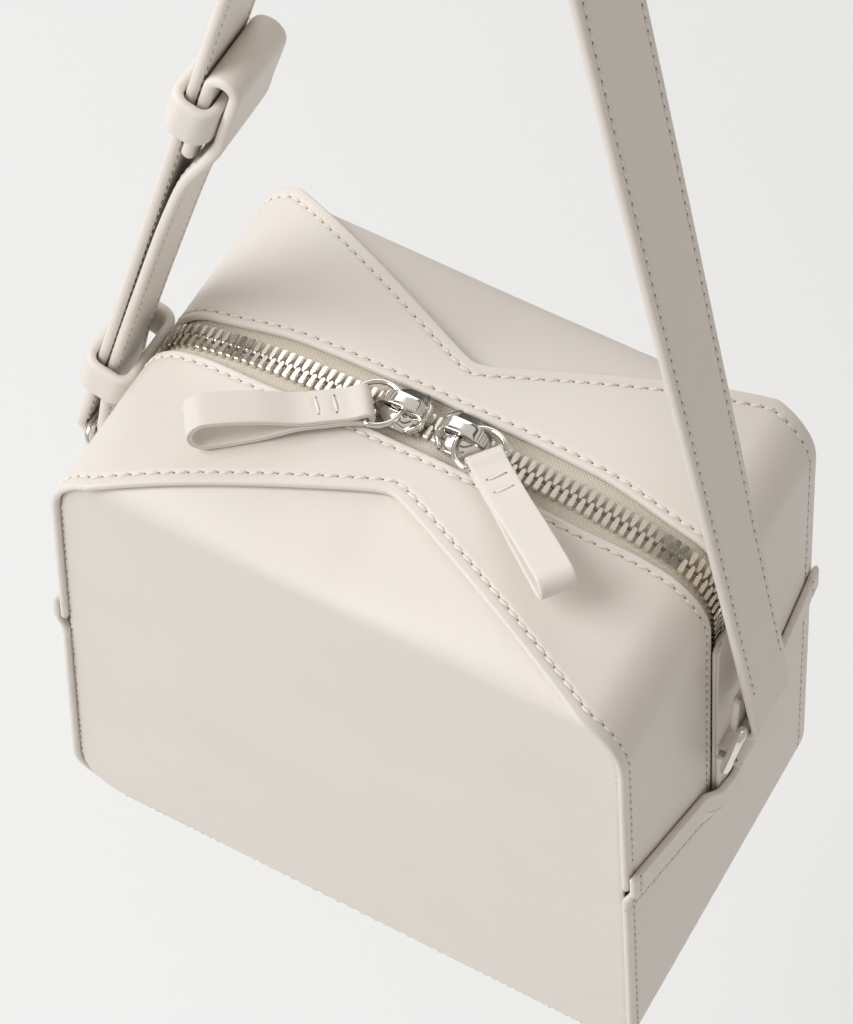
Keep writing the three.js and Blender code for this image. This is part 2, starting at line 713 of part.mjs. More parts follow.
function ringTab(ring) {
  // A flat strip over the end of the zip with a loop round the lower bar of the ring
  const place = (spot, across) => new THREE.Vector3(ring.direction * spot.x, across, spot.y);
  const along = (z) => onOutline(runAtHeight(z), wall + FIT + LEATHER / 2);
  const sizes = () => ({ width: TAB_WIDTH, thickness: LEATHER });
  const hidden = 0.375 * HEM_OVERLAP;
  const heights = steps(hemHeight(0) - hidden, HEM_HEIGHT + TAB_RISE, 10);
  const strip = band(heights.map(along), false, sizes, place);
  const grip = RING_WIRE / 2 + FIT + LEATHER / 2;
  const root = tabWall.x + LEATHER / 4;
  const loop = band(
    [
      new THREE.Vector2(root, lowerBar.y - grip),
      ...arc(lowerBar, grip, -90, 90, 8),
      new THREE.Vector2(root, lowerBar.y + grip),
    ],
    true, sizes, place,
  );
  return geometryOf(solid(strip).add(solid(loop)));
}

// Strap: one long strip from the right ring, over the top and down to the left ring,
// then back up beside itself, over in a roll and down through the upper keeper

const wrapRadius = RING_WIRE / 2 + 1.5 * FIT + STRAP_THICKNESS / 2;
const rightBar = upperBar(ringTable[0]);
const leftBar = upperBar(ringTable[1]);
const bagTop = archHeight(0);
const crown = new THREE.Vector2(STRAP_TOP_SHIFT, bagTop + STRAP_RISE);
const doubled = STRAP_THICKNESS + STRAP_LAYER_GAP;
const keeperTable = [
  { name: "keeper_upper", height: HEM_HEIGHT + UPPER_KEEPER, room: FIT },
  { name: "keeper_lower", height: HEM_HEIGHT + LOWER_KEEPER, room: LOWER_KEEPER_ROOM },
];

function beltAngle(from, fromRadius, to, toRadius) {
  // Where a strap leaves one round bar for the next, in degrees, when it turns left round both
  const reach = new THREE.Vector2().subVectors(to, from);
  const open = Math.acos((fromRadius - toRadius) / reach.length());
  return THREE.MathUtils.radToDeg(reach.angle() - open);
}

const rightAngle = beltAngle(rightBar, wrapRadius, crown, STRAP_TOP_RADIUS);
const leftAngle = beltAngle(crown, STRAP_TOP_RADIUS, leftBar, wrapRadius);

function around(centre, radius, angle) {
  return arc(centre, radius, angle, angle, 1)[0];
}

const leftLegTop = around(crown, STRAP_TOP_RADIUS, leftAngle);
const leftLegFoot = around(leftBar, wrapRadius, leftAngle);
const leftUp = new THREE.Vector2().subVectors(leftLegTop, leftLegFoot).normalize();
const leftInward = new THREE.Vector2(leftUp.y, -leftUp.x);
const rightFoot = around(rightBar, wrapRadius, rightAngle);
const rightUp = around(crown, STRAP_TOP_RADIUS, rightAngle).sub(rightFoot).normalize();
const rightInward = new THREE.Vector2(-rightUp.y, rightUp.x);

function besideLeftLeg(height, distance) {
  // A place at a height of the left leg, moved inwards from the middle of its outer layer
  const share = (height - leftLegFoot.y) / (leftLegTop.y - leftLegFoot.y);
  return new THREE.Vector2()
    .lerpVectors(leftLegFoot, leftLegTop, share)
    .addScaledVector(leftInward, distance);
}

function strapPath() {
  // From the end at the right ring, over the top, round the left ring and back up to the tongue
  const [upper, lower] = keeperTable;
  const bulge = doubled + ROLL_WIDTH;
  const rollMiddle = besideLeftLeg(upper.height + ROLL_RISE, doubled + ROLL_WIDTH / 2);
  const turn = steps(0, 180, 8).map((angle) => {
    const a = THREE.MathUtils.degToRad(angle);
    return rollMiddle.clone()
      .addScaledVector(leftInward, (ROLL_WIDTH / 2) * Math.cos(a))
      .addScaledVector(leftUp, (ROLL_WIDTH / 2) * Math.sin(a));
  });
  const between = (share, distance) =>
    besideLeftLeg(lower.height + (upper.height - lower.height) * share, distance);
  return [
    rightFoot.clone()
      .addScaledVector(rightUp, STRAP_TUCK)
      .addScaledVector(rightInward, doubled + STRAP_LAYER_GAP),
    ...arc(rightBar, wrapRadius, 190, 360 + rightAngle, 10),
    ...arc(crown, STRAP_TOP_RADIUS, rightAngle, leftAngle, 12),
    ...arc(leftBar, wrapRadius, leftAngle, 372, 10),
    between(-0.06, doubled + STRAP_LAYER_GAP),
    between(0, doubled),
    between(0.35, doubled),
    between(0.65, doubled + 0.1 * ROLL_WIDTH),
    between(0.78, doubled + 0.3 * ROLL_WIDTH),
    between(0.86, doubled + 0.7 * ROLL_WIDTH),
    between(0.93, bulge),
    between(1, bulge),
    ...turn,
    besideLeftLeg(upper.height, doubled),
    besideLeftLeg(upper.height - TONGUE, doubled),
  ];
}

function strapWidth(height) {
  // Narrow at the rings and wide over the shoulder
  const low = HEM_HEIGHT + 0.12 * STRAP_RISE;
  const t = THREE.MathUtils.smoothstep(height, low, bagTop + 0.75 * STRAP_RISE);
  return STRAP_END_WIDTH + (STRAP_TOP_WIDTH - STRAP_END_WIDTH) * t;
}

function strap() {
  const path = strapPath();
  return band(
    path, false,
    (i) => ({ width: strapWidth(path[i].y), thickness: STRAP_THICKNESS }),
    (spot, across) => new THREE.Vector3(spot.x, across, spot.y),
  );
}

function keeper(entry) {
  // A closed band round two layers of the left leg
  const side = STRAP_THICKNESS / 2 + FIT + KEEPER_LEATHER / 2;
  const span = doubled + 2 * side + entry.room;
  const wide = strapWidth(entry.height) + 2 * (FIT + KEEPER_SIDE_ROOM) + KEEPER_LEATHER;
  const centre = besideLeftLeg(entry.height, span / 2 - side);
  const path = roundedRectangle(span, wide, STRAP_THICKNESS, 4);
  return band(path, true, () => ({ width: KEEPER_HEIGHT, thickness: KEEPER_LEATHER }),
    (spot, across) => {
      const flat = centre.clone()
        .addScaledVector(leftInward, spot.x)
        .addScaledVector(leftUp, across);
      return new THREE.Vector3(flat.x, spot.y, flat.y);
    });
}

// The whole bag

const group = new THREE.Group();
const leather = { color: 0xe3dacc, roughness: 0.5, metalness: 0 };
const tape = { color: 0xdccfb6, roughness: 0.9, metalness: 0 };
const nickel = { color: 0xc8c6c1, roughness: 0.25, metalness: 1 };

function addPiece(name, geometry, finish) {
  const mesh = new THREE.Mesh(geometry, new THREE.MeshStandardMaterial(finish));
  mesh.name = name;
  group.add(mesh);
}

function turned(geometry) {
  // The same piece for the back, turned half round
  return geometry.clone().rotateZ(Math.PI);
}

const front = frontPanel();
const frontGusset = topGusset();
addPiece("front_panel", front, leather);
addPiece("back_panel", turned(front), leather);
addPiece("top_gusset_front", frontGusset, leather);
addPiece("top_gusset_back", turned(frontGusset), leather);
addPiece("base_gusset", baseGusset(), leather);
addPiece("zip_tape_front", zipTape(-1), tape);
addPiece("zip_tape_back", zipTape(1), tape);
addPiece("zip_chain", zipChain(), nickel);
for (const pull of pullTable) {
  addPiece(`zip_slider_${pull.name}`, zipSlider(pull.direction), nickel);
  addPiece(`pull_ring_${pull.name}`, pullRing(pull), nickel);
  addPiece(`pull_loop_${pull.name}`, pullLoop(pull), leather);
}
for (const ring of ringTable) {
  addPiece(`strap_ring_${ring.name}`, strapRing(ring), nickel);
  addPiece(`ring_tab_${ring.name}`, ringTab(ring), leather);
}
addPiece("strap", strap(), leather);
for (const entry of keeperTable) {
  addPiece(entry.name, keeper(entry), leather);
}

// The bag hangs by the inner side of the strap's top bend, which is the zero point
group.position.set(-crown.x, 0, -(crown.y + STRAP_TOP_RADIUS - STRAP_THICKNESS / 2));

export default group;
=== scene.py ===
# A small cream leather box bag with an arched zip top, hanging by its shoulder strap.
# Shapes are worked out in millimetres in the bag's own frame, with its base at Z = 0 and its middle on
# the Z axis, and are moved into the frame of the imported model, in metres, when a mesh is made.
import math

import bmesh
import bpy
import numpy as np
from mathutils import Matrix, Vector


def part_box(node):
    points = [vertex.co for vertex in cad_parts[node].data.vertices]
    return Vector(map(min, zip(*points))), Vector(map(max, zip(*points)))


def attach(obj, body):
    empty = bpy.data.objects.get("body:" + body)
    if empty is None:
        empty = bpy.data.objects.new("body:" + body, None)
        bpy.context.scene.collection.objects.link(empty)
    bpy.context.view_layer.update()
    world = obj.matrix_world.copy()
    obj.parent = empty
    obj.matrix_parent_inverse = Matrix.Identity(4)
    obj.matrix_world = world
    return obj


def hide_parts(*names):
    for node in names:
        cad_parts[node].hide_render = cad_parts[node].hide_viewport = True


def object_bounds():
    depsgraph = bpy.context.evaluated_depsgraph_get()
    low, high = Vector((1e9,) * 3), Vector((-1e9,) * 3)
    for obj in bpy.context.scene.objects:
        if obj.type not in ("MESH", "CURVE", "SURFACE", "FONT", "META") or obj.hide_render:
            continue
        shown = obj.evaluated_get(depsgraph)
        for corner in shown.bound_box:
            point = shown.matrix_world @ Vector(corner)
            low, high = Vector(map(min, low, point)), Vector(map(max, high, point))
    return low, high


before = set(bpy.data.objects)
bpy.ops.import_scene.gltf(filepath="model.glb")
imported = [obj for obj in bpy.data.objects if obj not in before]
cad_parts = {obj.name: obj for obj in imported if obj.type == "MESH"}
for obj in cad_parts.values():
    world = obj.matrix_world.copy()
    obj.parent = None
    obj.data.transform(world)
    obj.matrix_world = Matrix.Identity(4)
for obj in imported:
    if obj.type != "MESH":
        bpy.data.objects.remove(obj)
cad_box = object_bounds()

# Camera
# The photograph is taken from above and in front, over the right end of the bag, from about 1.1 m
# with a long lens. The view is the angle, roll and distance that fit the bag's corners and seams.
VIEW_AZIMUTH = 30.026    # degrees from the front towards the right end
VIEW_HEIGHT = 57.532     # degrees above level
VIEW_ROLL = 1.107
VIEW_DISTANCE = 1.1047
VIEW_AIM = Vector((-0.02309, 0.02295, -0.39214))
LENS = 131.29            # mm, for the 36 mm long side of the 853 x 1024 frame

azimuth, height, roll = (math.radians(a) for a in (VIEW_AZIMUTH, VIEW_HEIGHT, VIEW_ROLL))
flat_share = math.cos(height)
forward = Vector((-math.sin(azimuth) * flat_share, math.cos(azimuth) * flat_share, -math.sin(height)))
level = forward.cross(Vector((0, 0, 1))).normalized()
turn = Matrix.Rotation(roll, 3, forward)
right_hand = turn @ level
camera_data = bpy.data.cameras.new("camera")
camera_data.lens = LENS
camera_data.sensor_width = 36
camera_data.clip_end = 50
camera = bpy.data.objects.new("camera", camera_data)
bpy.context.scene.collection.objects.link(camera)
axes = Matrix((right_hand, right_hand.cross(forward), -forward)).transposed()
camera.matrix_world = Matrix.Translation(VIEW_AIM - forward * VIEW_DISTANCE) @ axes.to_4x4()
bpy.context.scene.camera = camera

# Floor and light
# A pale studio floor under the hanging bag, a large soft light high on the left and in front, a
# weaker one behind, and a pale sky with dark bands that fills the shadows and shows in the metal.
FLOOR_DROP = 0.50        # floor below the base of the bag
FLOOR_SIZE = 30.0
LAMP_COLOUR = (0.97, 0.985, 1.0)
SKY_LIGHT = (1.0, 0.95, 0.89)
SKY_DARK = (0.10, 0.095, 0.09)
SKY_STRENGTH = 0.68
SKY_BANDS = 1.6          # dark bands from the zenith to the horizon
SKY_WAVER = 3.0          # how far the bands waver
SKY_CHANGE = (0.12, 0.34)   # shares of a band between which it goes from dark to light

bpy.context.scene.view_settings.view_transform = "Standard"


def plain_material(name, colour, roughness=0.5, metallic=0.0):
    material = bpy.data.materials.new(name)
    material.use_nodes = True
    shader = material.node_tree.nodes["Principled BSDF"]
    shader.inputs["Base Color"].default_value = (*colour, 1)
    shader.inputs["Roughness"].default_value = roughness
    shader.inputs["Metallic"].default_value = metallic
    return material


def studio_floor():
    half = FLOOR_SIZE / 2
    level_z = cad_box[0].z - FLOOR_DROP
    mesh = bpy.data.meshes.new("floor")
    corners = [(-half, -half, level_z), (half, -half, level_z), (half, half, level_z), (-half, half, level_z)]
    mesh.from_pydata(corners, [], [(0, 1, 2, 3)])
    mesh.materials.append(plain_material("floor_paint", (0.90, 0.91, 0.92), 0.9))
    floor = bpy.data.objects.new("floor", mesh)
    bpy.context.scene.collection.objects.link(floor)


def soft_light(name, energy, size, place, aim=(0, 0, -0.4)):
    data = bpy.data.lights.new(name, "AREA")
    data.color = LAMP_COLOUR
    data.energy = energy
    data.shape = "DISK"
    data.size = size
    light = bpy.data.objects.new(name, data)
    bpy.context.scene.collection.objects.link(light)
    direction = Vector(aim) - Vector(place)
    light.rotation_euler = direction.to_track_quat("-Z", "Y").to_euler()
    light.location = place


def add_node(tree, kind, inputs=None, **settings):
    """A node with its settings, and its inputs set to values or linked from other nodes' outputs."""
    node = tree.nodes.new(kind)
    for key, value in settings.items():
        setattr(node, key, value)
    for key, value in (inputs or {}).items():
        if isinstance(value, bpy.types.NodeSocket):
            tree.links.new(value, node.inputs[key])
        else:
            node.inputs[key].default_value = value
    return node


def pale_sky():
    world = bpy.data.worlds.new("sky")
    bpy.context.scene.world = world
    world.use_nodes = True
    tree = world.node_tree
    direction = add_node(tree, "ShaderNodeTexCoord").outputs["Generated"]
    bands = add_node(tree, "ShaderNodeTexWave",
                     {"Scale": SKY_BANDS, "Distortion": SKY_WAVER, "Vector": direction}, bands_direction="Z")
    ramp = add_node(tree, "ShaderNodeValToRGB", {"Fac": bands.outputs["Fac"]})
    for stop, place, colour in zip(ramp.color_ramp.elements, SKY_CHANGE, (SKY_DARK, SKY_LIGHT)):
        stop.position = place
        stop.color = (*colour, 1)
    sky = tree.nodes["Background"]
    sky.inputs["Strength"].default_value = SKY_STRENGTH
    tree.links.new(ramp.outputs["Color"], sky.inputs["Color"])


studio_floor()
soft_light("key", 65, 2.0, (-1.55, -1.35, 1.75))
soft_light("fill_behind", 10, 1.6, (-1.0, 1.9, 1.5))
pale_sky()

# Front and back panels
# Each is one stiff cream leather wall, lasted over a board, with a soft fold across it near the top.
# Above the fold it leans back to a pointed seam, and its edge is sewn inside the rim of the gussets.
MM = 0.001
BAG_LENGTH = 178
BAG_DEPTH = 114
END_HEIGHT = 179
ARCH_RISE = 13.5
ARCH_POWER = 3.2
BASE_FLARE = 0.12
TOP_BEND = 20
BASE_BEND = 14
LEATHER = 2.2
PANEL_LEATHER = 2.0
FIT = 0.3
FOLD_RISE = 7            # soft fold above the ends of the arch
FOLD_SOFTNESS = 4.5
SEAM_NEAREST = 23        # pointed seam from the mid-plane
POINT_SOFTNESS = 2.5     # half length over which the seam's point is rounded
RIM = 1.5                # how far the gussets' rim stands out past the panel
PILLOW = 0.8             # how far the middle of the panel swells
PILLOW_REACH = 45        # from the edge to where it has swollen fully
EDGE_TUCK = 0.9          # how far the panel's edge draws in at its seam
TUCK_REACH = 1.6
CREAM = (0.775, 0.722, 0.668)
PORE_SCALE = 1500        # of the leather's grain, per metre
WRINKLE_SCALE = 420
CLOUD_SCALE = 22
GLOSS_CHANGE = 0.05      # of the leather's roughness, both ways
GRAIN_DEPTH = 0.0002     # metres
BEND_PULL = 0.56         # of a bend's handles towards its corner

half_length = BAG_LENGTH / 2
wall = LEATHER + FIT
panel_half = half_length - wall
half_depth = BAG_DEPTH / 2
rim_depth = half_depth + RIM
fold_height = END_HEIGHT + FOLD_RISE
base_low, base_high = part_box("base_gusset")
bag_middle = Vector(((base_low.x + base_high.x) / 2, 0, base_low.z))


def arch_height(x):
    return END_HEIGHT + ARCH_RISE * (1 - (np.abs(x) / half_length) ** ARCH_POWER)


def side_at(z):
    return panel_half * (1 + BASE_FLARE * (END_HEIGHT - z) / END_HEIGHT)


def smooth_bend(start, corner, end, count):
    """Points of a smooth bend from one straight run into the next, without its first one."""
    t = np.linspace(0, 1, count + 1)[1:, None]
    first = start + BEND_PULL * (corner - start)
    second = end + BEND_PULL * (corner - end)
    u = 1 - t
    return u**3 * start + 3 * u * u * t * first + 3 * u * t * t * second + t**3 * end


def half_outline():
    """The panel's outline from the middle of the top, round the right end, to the middle of the base."""
    end_height = arch_height(panel_half)
    corner = np.array([side_at(end_height), end_height])
    slope = -ARCH_RISE * ARCH_POWER / half_length * (panel_half / half_length) ** (ARCH_POWER - 1)
    along = np.array([1, slope]) / math.hypot(1, slope)
    base_corner = np.array([side_at(wall), wall])
    down = (base_corner - corner) / np.linalg.norm(base_corner - corner)
    top_run = TOP_BEND * math.tan(math.acos(along @ down) / 2)
    base_run = BASE_BEND * math.tan(math.acos(-down[0]) / 2)
    arch_x = np.linspace(0, corner[0] - top_run * along[0], 60)
    arch = np.stack([arch_x, arch_height(arch_x)], 1)
    side_top = corner + down * top_run
    side_end = base_corner - down * base_run
    base_start = base_corner - np.array([base_run, 0])
    straight = np.linspace(side_top, side_end, 41)[1:]
    flat = np.linspace(base_start, [0, wall], 31)[1:]
    top_bend = smooth_bend(arch[-1], corner, side_top, 30)
    base_bend = smooth_bend(side_end, base_corner, base_start, 30)
    marks = {"arch_end": arch[-1], "side_top": side_top, "side_end": side_end, "base_start": base_start}
    return np.concatenate([arch, top_bend, straight, base_bend, flat]), marks


outline, marks = half_outline()
steps_between = np.linalg.norm(np.diff(outline, axis=0), axis=1)
runs = np.concatenate([[0], np.cumsum(steps_between)])
half_run = runs[-1]
tangents = np.gradient(outline, axis=0)
tangents[0] = (1, 0)
tangents[-1] = (-1, 0)
outline_out = np.stack([-tangents[:, 1], tangents[:, 0]], 1)
outline_out /= np.linalg.norm(outline_out, axis=1)[:, None]


def run_of(mark):
    return runs[np.argmin(np.linalg.norm(outline - marks[mark], axis=1))]


def on_outline(run, offset=0.0):
    """X and Z at a distance along the outline from the top middle, moved outwards by an offset."""
    run = np.asarray(run, float)
    left = (run < 0) | (run > half_run)
    s = np.where(np.abs(run) > half_run, 2 * half_run - np.abs(run), np.abs(run))
    x = np.interp(s, runs, outline[:, 0])
    z = np.interp(s, runs, outline[:, 1])
    out_x = np.interp(s, runs, outline_out[:, 0])
    out_z = np.interp(s, runs, outline_out[:, 1])
    length = np.hypot(out_x, out_z)
    x = x + out_x / length * offset
    z = z + out_z / length * offset
    return np.where(left, -x, x), z


def seam_depth(x):
    """Distance of the pointed seam from the mid-plane, with its point a little rounded."""
    reach = marks["arch_end"][0]
    away = np.sqrt(np.asarray(x, float) ** 2 + POINT_SOFTNESS**2) - POINT_SOFTNESS
    return SEAM_NEAREST + (half_depth - SEAM_NEAREST) * np.clip(away / (reach - POINT_SOFTNESS), 0, 1)


def add_piece(name, points, faces, material, node=None, smooth=True):
    """A mesh from points in the bag's frame, riding on the bag, in place of the CAD nodes it stands for."""
    place = np.asarray(points, float).reshape(-1, 3) * MM + np.array(bag_middle)
    mesh = bpy.data.meshes.new(name)
    mesh.from_pydata(place.tolist(), [], faces)
    mesh.validate()
    mesh.materials.append(material)
    mesh.polygons.foreach_set("use_smooth", [smooth] * len(mesh.polygons))
    bm = bmesh.new()
    bm.from_mesh(mesh)
    bmesh.ops.recalc_face_normals(bm, faces=bm.faces)
    bm.to_mesh(mesh)
    bm.free()
    piece = bpy.data.objects.new(name, mesh)
    bpy.context.scene.collection.objects.link(piece)
    finish_piece(piece, node)
    return piece


def finish_piece(piece, node=None):
    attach(piece, "root")
    if node:
        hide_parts(*([node] if isinstance(node, str) else node))


def loft_faces(rows, columns, closed=False):
    """Faces between rows of points that are closed loops, with a ladder of faces over each end."""
    faces = []
    for i in range(rows if closed else rows - 1):
        a, b = i * columns, ((i + 1) % rows) * columns
        for j in range(columns):
            k = (j + 1) % columns
            faces.append((a + j, a + k, b + k, b + j))
    if not closed:
        last = (rows - 1) * columns
        for j in range(columns // 2 - 1):
            other = columns - 1 - j
            faces.append((j, other, other - 1, j + 1))
            faces.append((last + j, last + j + 1, last + other - 1, last + other))
    return faces


def leather_grain():
    """Fine smooth grain with faint clouding: a height for bump and a shade for colour and gloss."""
    group = bpy.data.node_groups.new("leather_grain", "ShaderNodeTree")
    for name in ("Height", "Cloud"):
        group.interface.new_socket(name, in_out="OUTPUT", socket_type="NodeSocketFloat")
    place = add_node(group, "ShaderNodeTexCoord").outputs["Object"]
    pores = add_node(group, "ShaderNodeTexVoronoi", {"Vector": place, "Scale": PORE_SCALE},
                     feature="SMOOTH_F1")
    wrinkles = add_node(group, "ShaderNodeTexNoise",
                        {"Vector": place, "Scale": WRINKLE_SCALE, "Detail": 5, "Roughness": 0.6})
    clouds = add_node(group, "ShaderNodeTexNoise", {"Vector": place, "Scale": CLOUD_SCALE, "Detail": 3})
    height = add_node(group, "ShaderNodeMath", {0: pores.outputs["Distance"], 1: wrinkles.outputs["Fac"]},
                      operation="ADD")
    add_node(group, "NodeGroupOutput", {"Height": height.outputs[0], "Cloud": clouds.outputs["Fac"]})
    return group


grain_group = leather_grain()


def paint(material, shade=None, roughness=None, height=None, strength=0.0, distance=0.0):
    """Links what is given of a shade, a roughness and a bump's height to a material's shader."""
    tree = material.node_tree
    shader = tree.nodes["Principled BSDF"]
    if shade:
        tree.links.new(shade, shader.inputs["Base Color"])
    if roughness:
        tree.links.new(roughness, shader.inputs["Roughness"])
    if height:
        bump = add_node(tree, "ShaderNodeBump",
                        {"Strength": strength, "Distance": distance, "Height": height})
        tree.links.new(bump.outputs["Normal"], shader.inputs["Normal"])


def two_shades(tree, factor, colour, dark, light):
    """A colour that goes between a darker and a lighter share of itself."""
    ends = {"A": (*[c * dark for c in colour], 1), "B": (*[min(1, c * light) for c in colour], 1)}
    mix = add_node(tree, "ShaderNodeMix", {"Factor": factor, **ends}, data_type="RGBA")
    return mix.outputs["Result"]


def leather_material(name, colour, roughness, grain=0.05, clouding=0.05):
    """Smooth finished leather: a soft sheen, a faint change of shade and a very fine grain."""
    material = plain_material(name, colour, roughness)
    tree = material.node_tree
    shader = tree.nodes["Principled BSDF"]
    shader.inputs["Specular IOR Level"].default_value = 0.4
    shader.inputs["Subsurface Weight"].default_value = 0.06
    shader.inputs["Subsurface Radius"].default_value = (0.0012, 0.0008, 0.0005)
    group = add_node(tree, "ShaderNodeGroup", node_tree=grain_group)
    cloud = group.outputs["Cloud"]
    gloss = add_node(tree, "ShaderNodeMapRange", {
        "Value": cloud, "From Min": 0.3, "From Max": 0.7,
        "To Min": roughness - GLOSS_CHANGE, "To Max": roughness + GLOSS_CHANGE})
    shade = two_shades(tree, cloud, colour, 1 - clouding, 1 + clouding)
    paint(material, shade, gloss.outputs["Result"], group.outputs["Height"], grain, GRAIN_DEPTH)
    return material


smooth_leather = leather_material("smooth_leather", CREAM, 0.46)


def panel_surface(x, z, away):
    """Y of the outside of the front panel, where away is the distance from its edge."""
    top = arch_height(np.minimum(np.abs(x), marks["arch_end"][0]))
    soft = FOLD_SOFTNESS

    def risen(t):
        bend = (np.clip(t, -soft, soft) + soft) ** 2 / (4 * soft)
        return np.where(t > soft, t, bend)

    lean = (half_depth - seam_depth(x)) / risen(top - fold_height)
    share = np.clip(away / PILLOW_REACH, 0, 1)
    swell = PILLOW * share**2 * (3 - 2 * share)
    tucked = EDGE_TUCK * np.clip(1 - away / TUCK_REACH, 0, 1) ** 2
    return -half_depth + lean * risen(z - fold_height) - swell + tucked


def panel_grid(across=150, upright=140):
    """X and Z of a grid that fills the panel's outline, closer together near its edge."""
    def spread(count):
        t = np.linspace(-1, 1, count)
        return np.sign(t) * (1 - (1 - np.abs(t)) ** 1.35)

    top_corner = (run_of("arch_end") + run_of("side_top")) / 2
    base_corner = (run_of("side_end") + run_of("base_start")) / 2
    u, v = spread(across), spread(upright)
    share = (v + 1) / 2
    top = np.stack(on_outline(u * top_corner), 1)
    side_run = base_corner + (top_corner - base_corner) * share
    right = np.stack(on_outline(side_run), 1)
    left = right * (-1, 1)
    base_x, base_z = on_outline(base_corner + (half_run - base_corner) * (1 - np.abs(u)))
    base = np.stack([np.sign(u) * base_x, base_z], 1)
    s = ((u + 1) / 2)[None, :, None]
    t = share[:, None, None]
    between_sides = left[:, None] * (1 - s) + right[:, None] * s
    between_ends = base[None] * (1 - t) + top[None] * t
    corners = (base[0] * (1 - s) + base[-1] * s) * (1 - t) + (top[0] * (1 - s) + top[-1] * s) * t
    return between_sides + between_ends - corners


def panel(name, node, facing):
    grid = panel_grid()
    rows, columns = grid.shape[:2]
    flat = grid.reshape(-1, 2)
    full = np.concatenate([outline, outline[::-1] * (-1, 1)])
    away = np.full(len(flat), 1e9)
    for point in full:
        away = np.minimum(away, np.linalg.norm(flat - point, axis=1))
    y = panel_surface(flat[:, 0], flat[:, 1], away)
    outer = np.stack([flat[:, 0], y, flat[:, 1]], 1)
    inner = outer + (0, PANEL_LEATHER, 0)
    count = rows * columns
    faces = []
    for i in range(rows - 1):
        for j in range(columns - 1):
            a = i * columns + j
            faces.append((a, a + 1, a + columns + 1, a + columns))
            faces.append((count + a, count + a + columns, count + a + columns + 1, count + a + 1))
    rim = list(range(columns))
    rim += [i * columns + columns - 1 for i in range(1, rows)]
    rim += [(rows - 1) * columns + j for j in range(columns - 2, -1, -1)]
    rim += [i * columns for i in range(rows - 2, 0, -1)]
    for a, b in zip(rim, rim[1:] + rim[:1]):
        faces.append((a, a + count, b + count, b))
    points = np.concatenate([outer, inner])
    if facing < 0:
        points = points * (-1, -1, 1)
    add_piece(name, points, faces, smooth_leather, node)


panel("front_wall", "front_panel", 1)
panel("back_wall", "back_panel", -1)

# Top gussets
# On each side of the zip a leather strip runs over the top and half way down both ends. Its outer edge
# is turned into a firm rim round the panel, and both long edges are sewn through with a sunk row.
SLOT_WIDTH = 17
SLOT_END_WIDTH = 13      # at both ends and down the side walls
SLOT_EVEN = 45           # from mid-length to where the slot begins to close in
SLOT_CLOSED = 73         # and to where it has closed in
HEM_HEIGHT = 113
HEM_DIP = 29
HEM_OVERLAP = 8
SEAM_ROW = 4.0           # stitches in from the rim
SLOT_ROW = 2.6           # stitches in from the zip slot
EDGE_ROUND = 0.95        # radius of the leather's folded edges
GROOVE_DEPTH = 0.4
GROOVE_WIDTH = 0.8
FINE_STEP = 0.28         # between the columns of a mesh near a sewn edge
SEWN_ZONE = 2.5          # how far the close columns go on past a row
TOP_SHARE = 0.66         # share of a top gusset's rows that lie over the top


def smooth_step(t):
    t = np.clip(t, 0, 1)
    return t * t * (3 - 2 * t)


def slot_half(x):
    """Half the opening between the top gussets at a place along the bag."""
    share = smooth_step((np.abs(x) - SLOT_EVEN) / (SLOT_CLOSED - SLOT_EVEN))
    return (SLOT_WIDTH + (SLOT_END_WIDTH - SLOT_WIDTH) * share) / 2


def wrapped_section(thickness, radius, middle, low_zone=0.0, high_zone=0.0, two_layers=False):
    """A closed loop round a strip's section, as rows of shares of its width, insets and depths.

    The depths are below its face, and the zones are the widths beside the two edges where the columns
    are close enough for a sunk row.
    With two layers, each edge is notched half way through.
    """
    bend = np.radians(np.linspace(-70 if two_layers else 0, 90, 9 if two_layers else 5))
    low = [(0, radius * (1 - math.cos(a)), radius * (1 - math.sin(a))) for a in bend]
    high = [(1, -inset, depth) for _, inset, depth in reversed(low)]
    low += [(0, inset, 0) for inset in np.arange(radius + FINE_STEP, low_zone, FINE_STEP)]
    high = [(1, -inset, 0) for inset in np.arange(radius + FINE_STEP, high_zone, FINE_STEP)[::-1]] + high
    low_end, high_end = low[-1][1], high[0][1]
    flat = [(s, low_end * (1 - s) + high_end * s, 0) for s in np.linspace(0, 1, middle)[1:-1]]
    face = low + flat + high
    back = [(share, inset, thickness - depth) for share, inset, depth in reversed(face)]
    return np.array(face + back).T[:, None]


def run_at_height(z):
    """Distance along the outline to a height on the straight side."""
    slant = math.hypot(1, BASE_FLARE * panel_half / END_HEIGHT)
    return run_of("side_top") + (marks["side_top"][1] - z) * slant


def hem_height(y):
    return HEM_HEIGHT - HEM_DIP * (1 - np.abs(y) / rim_depth)


def groove(distance):
    return GROOVE_DEPTH * np.exp(-((distance / GROOVE_WIDTH) ** 2))


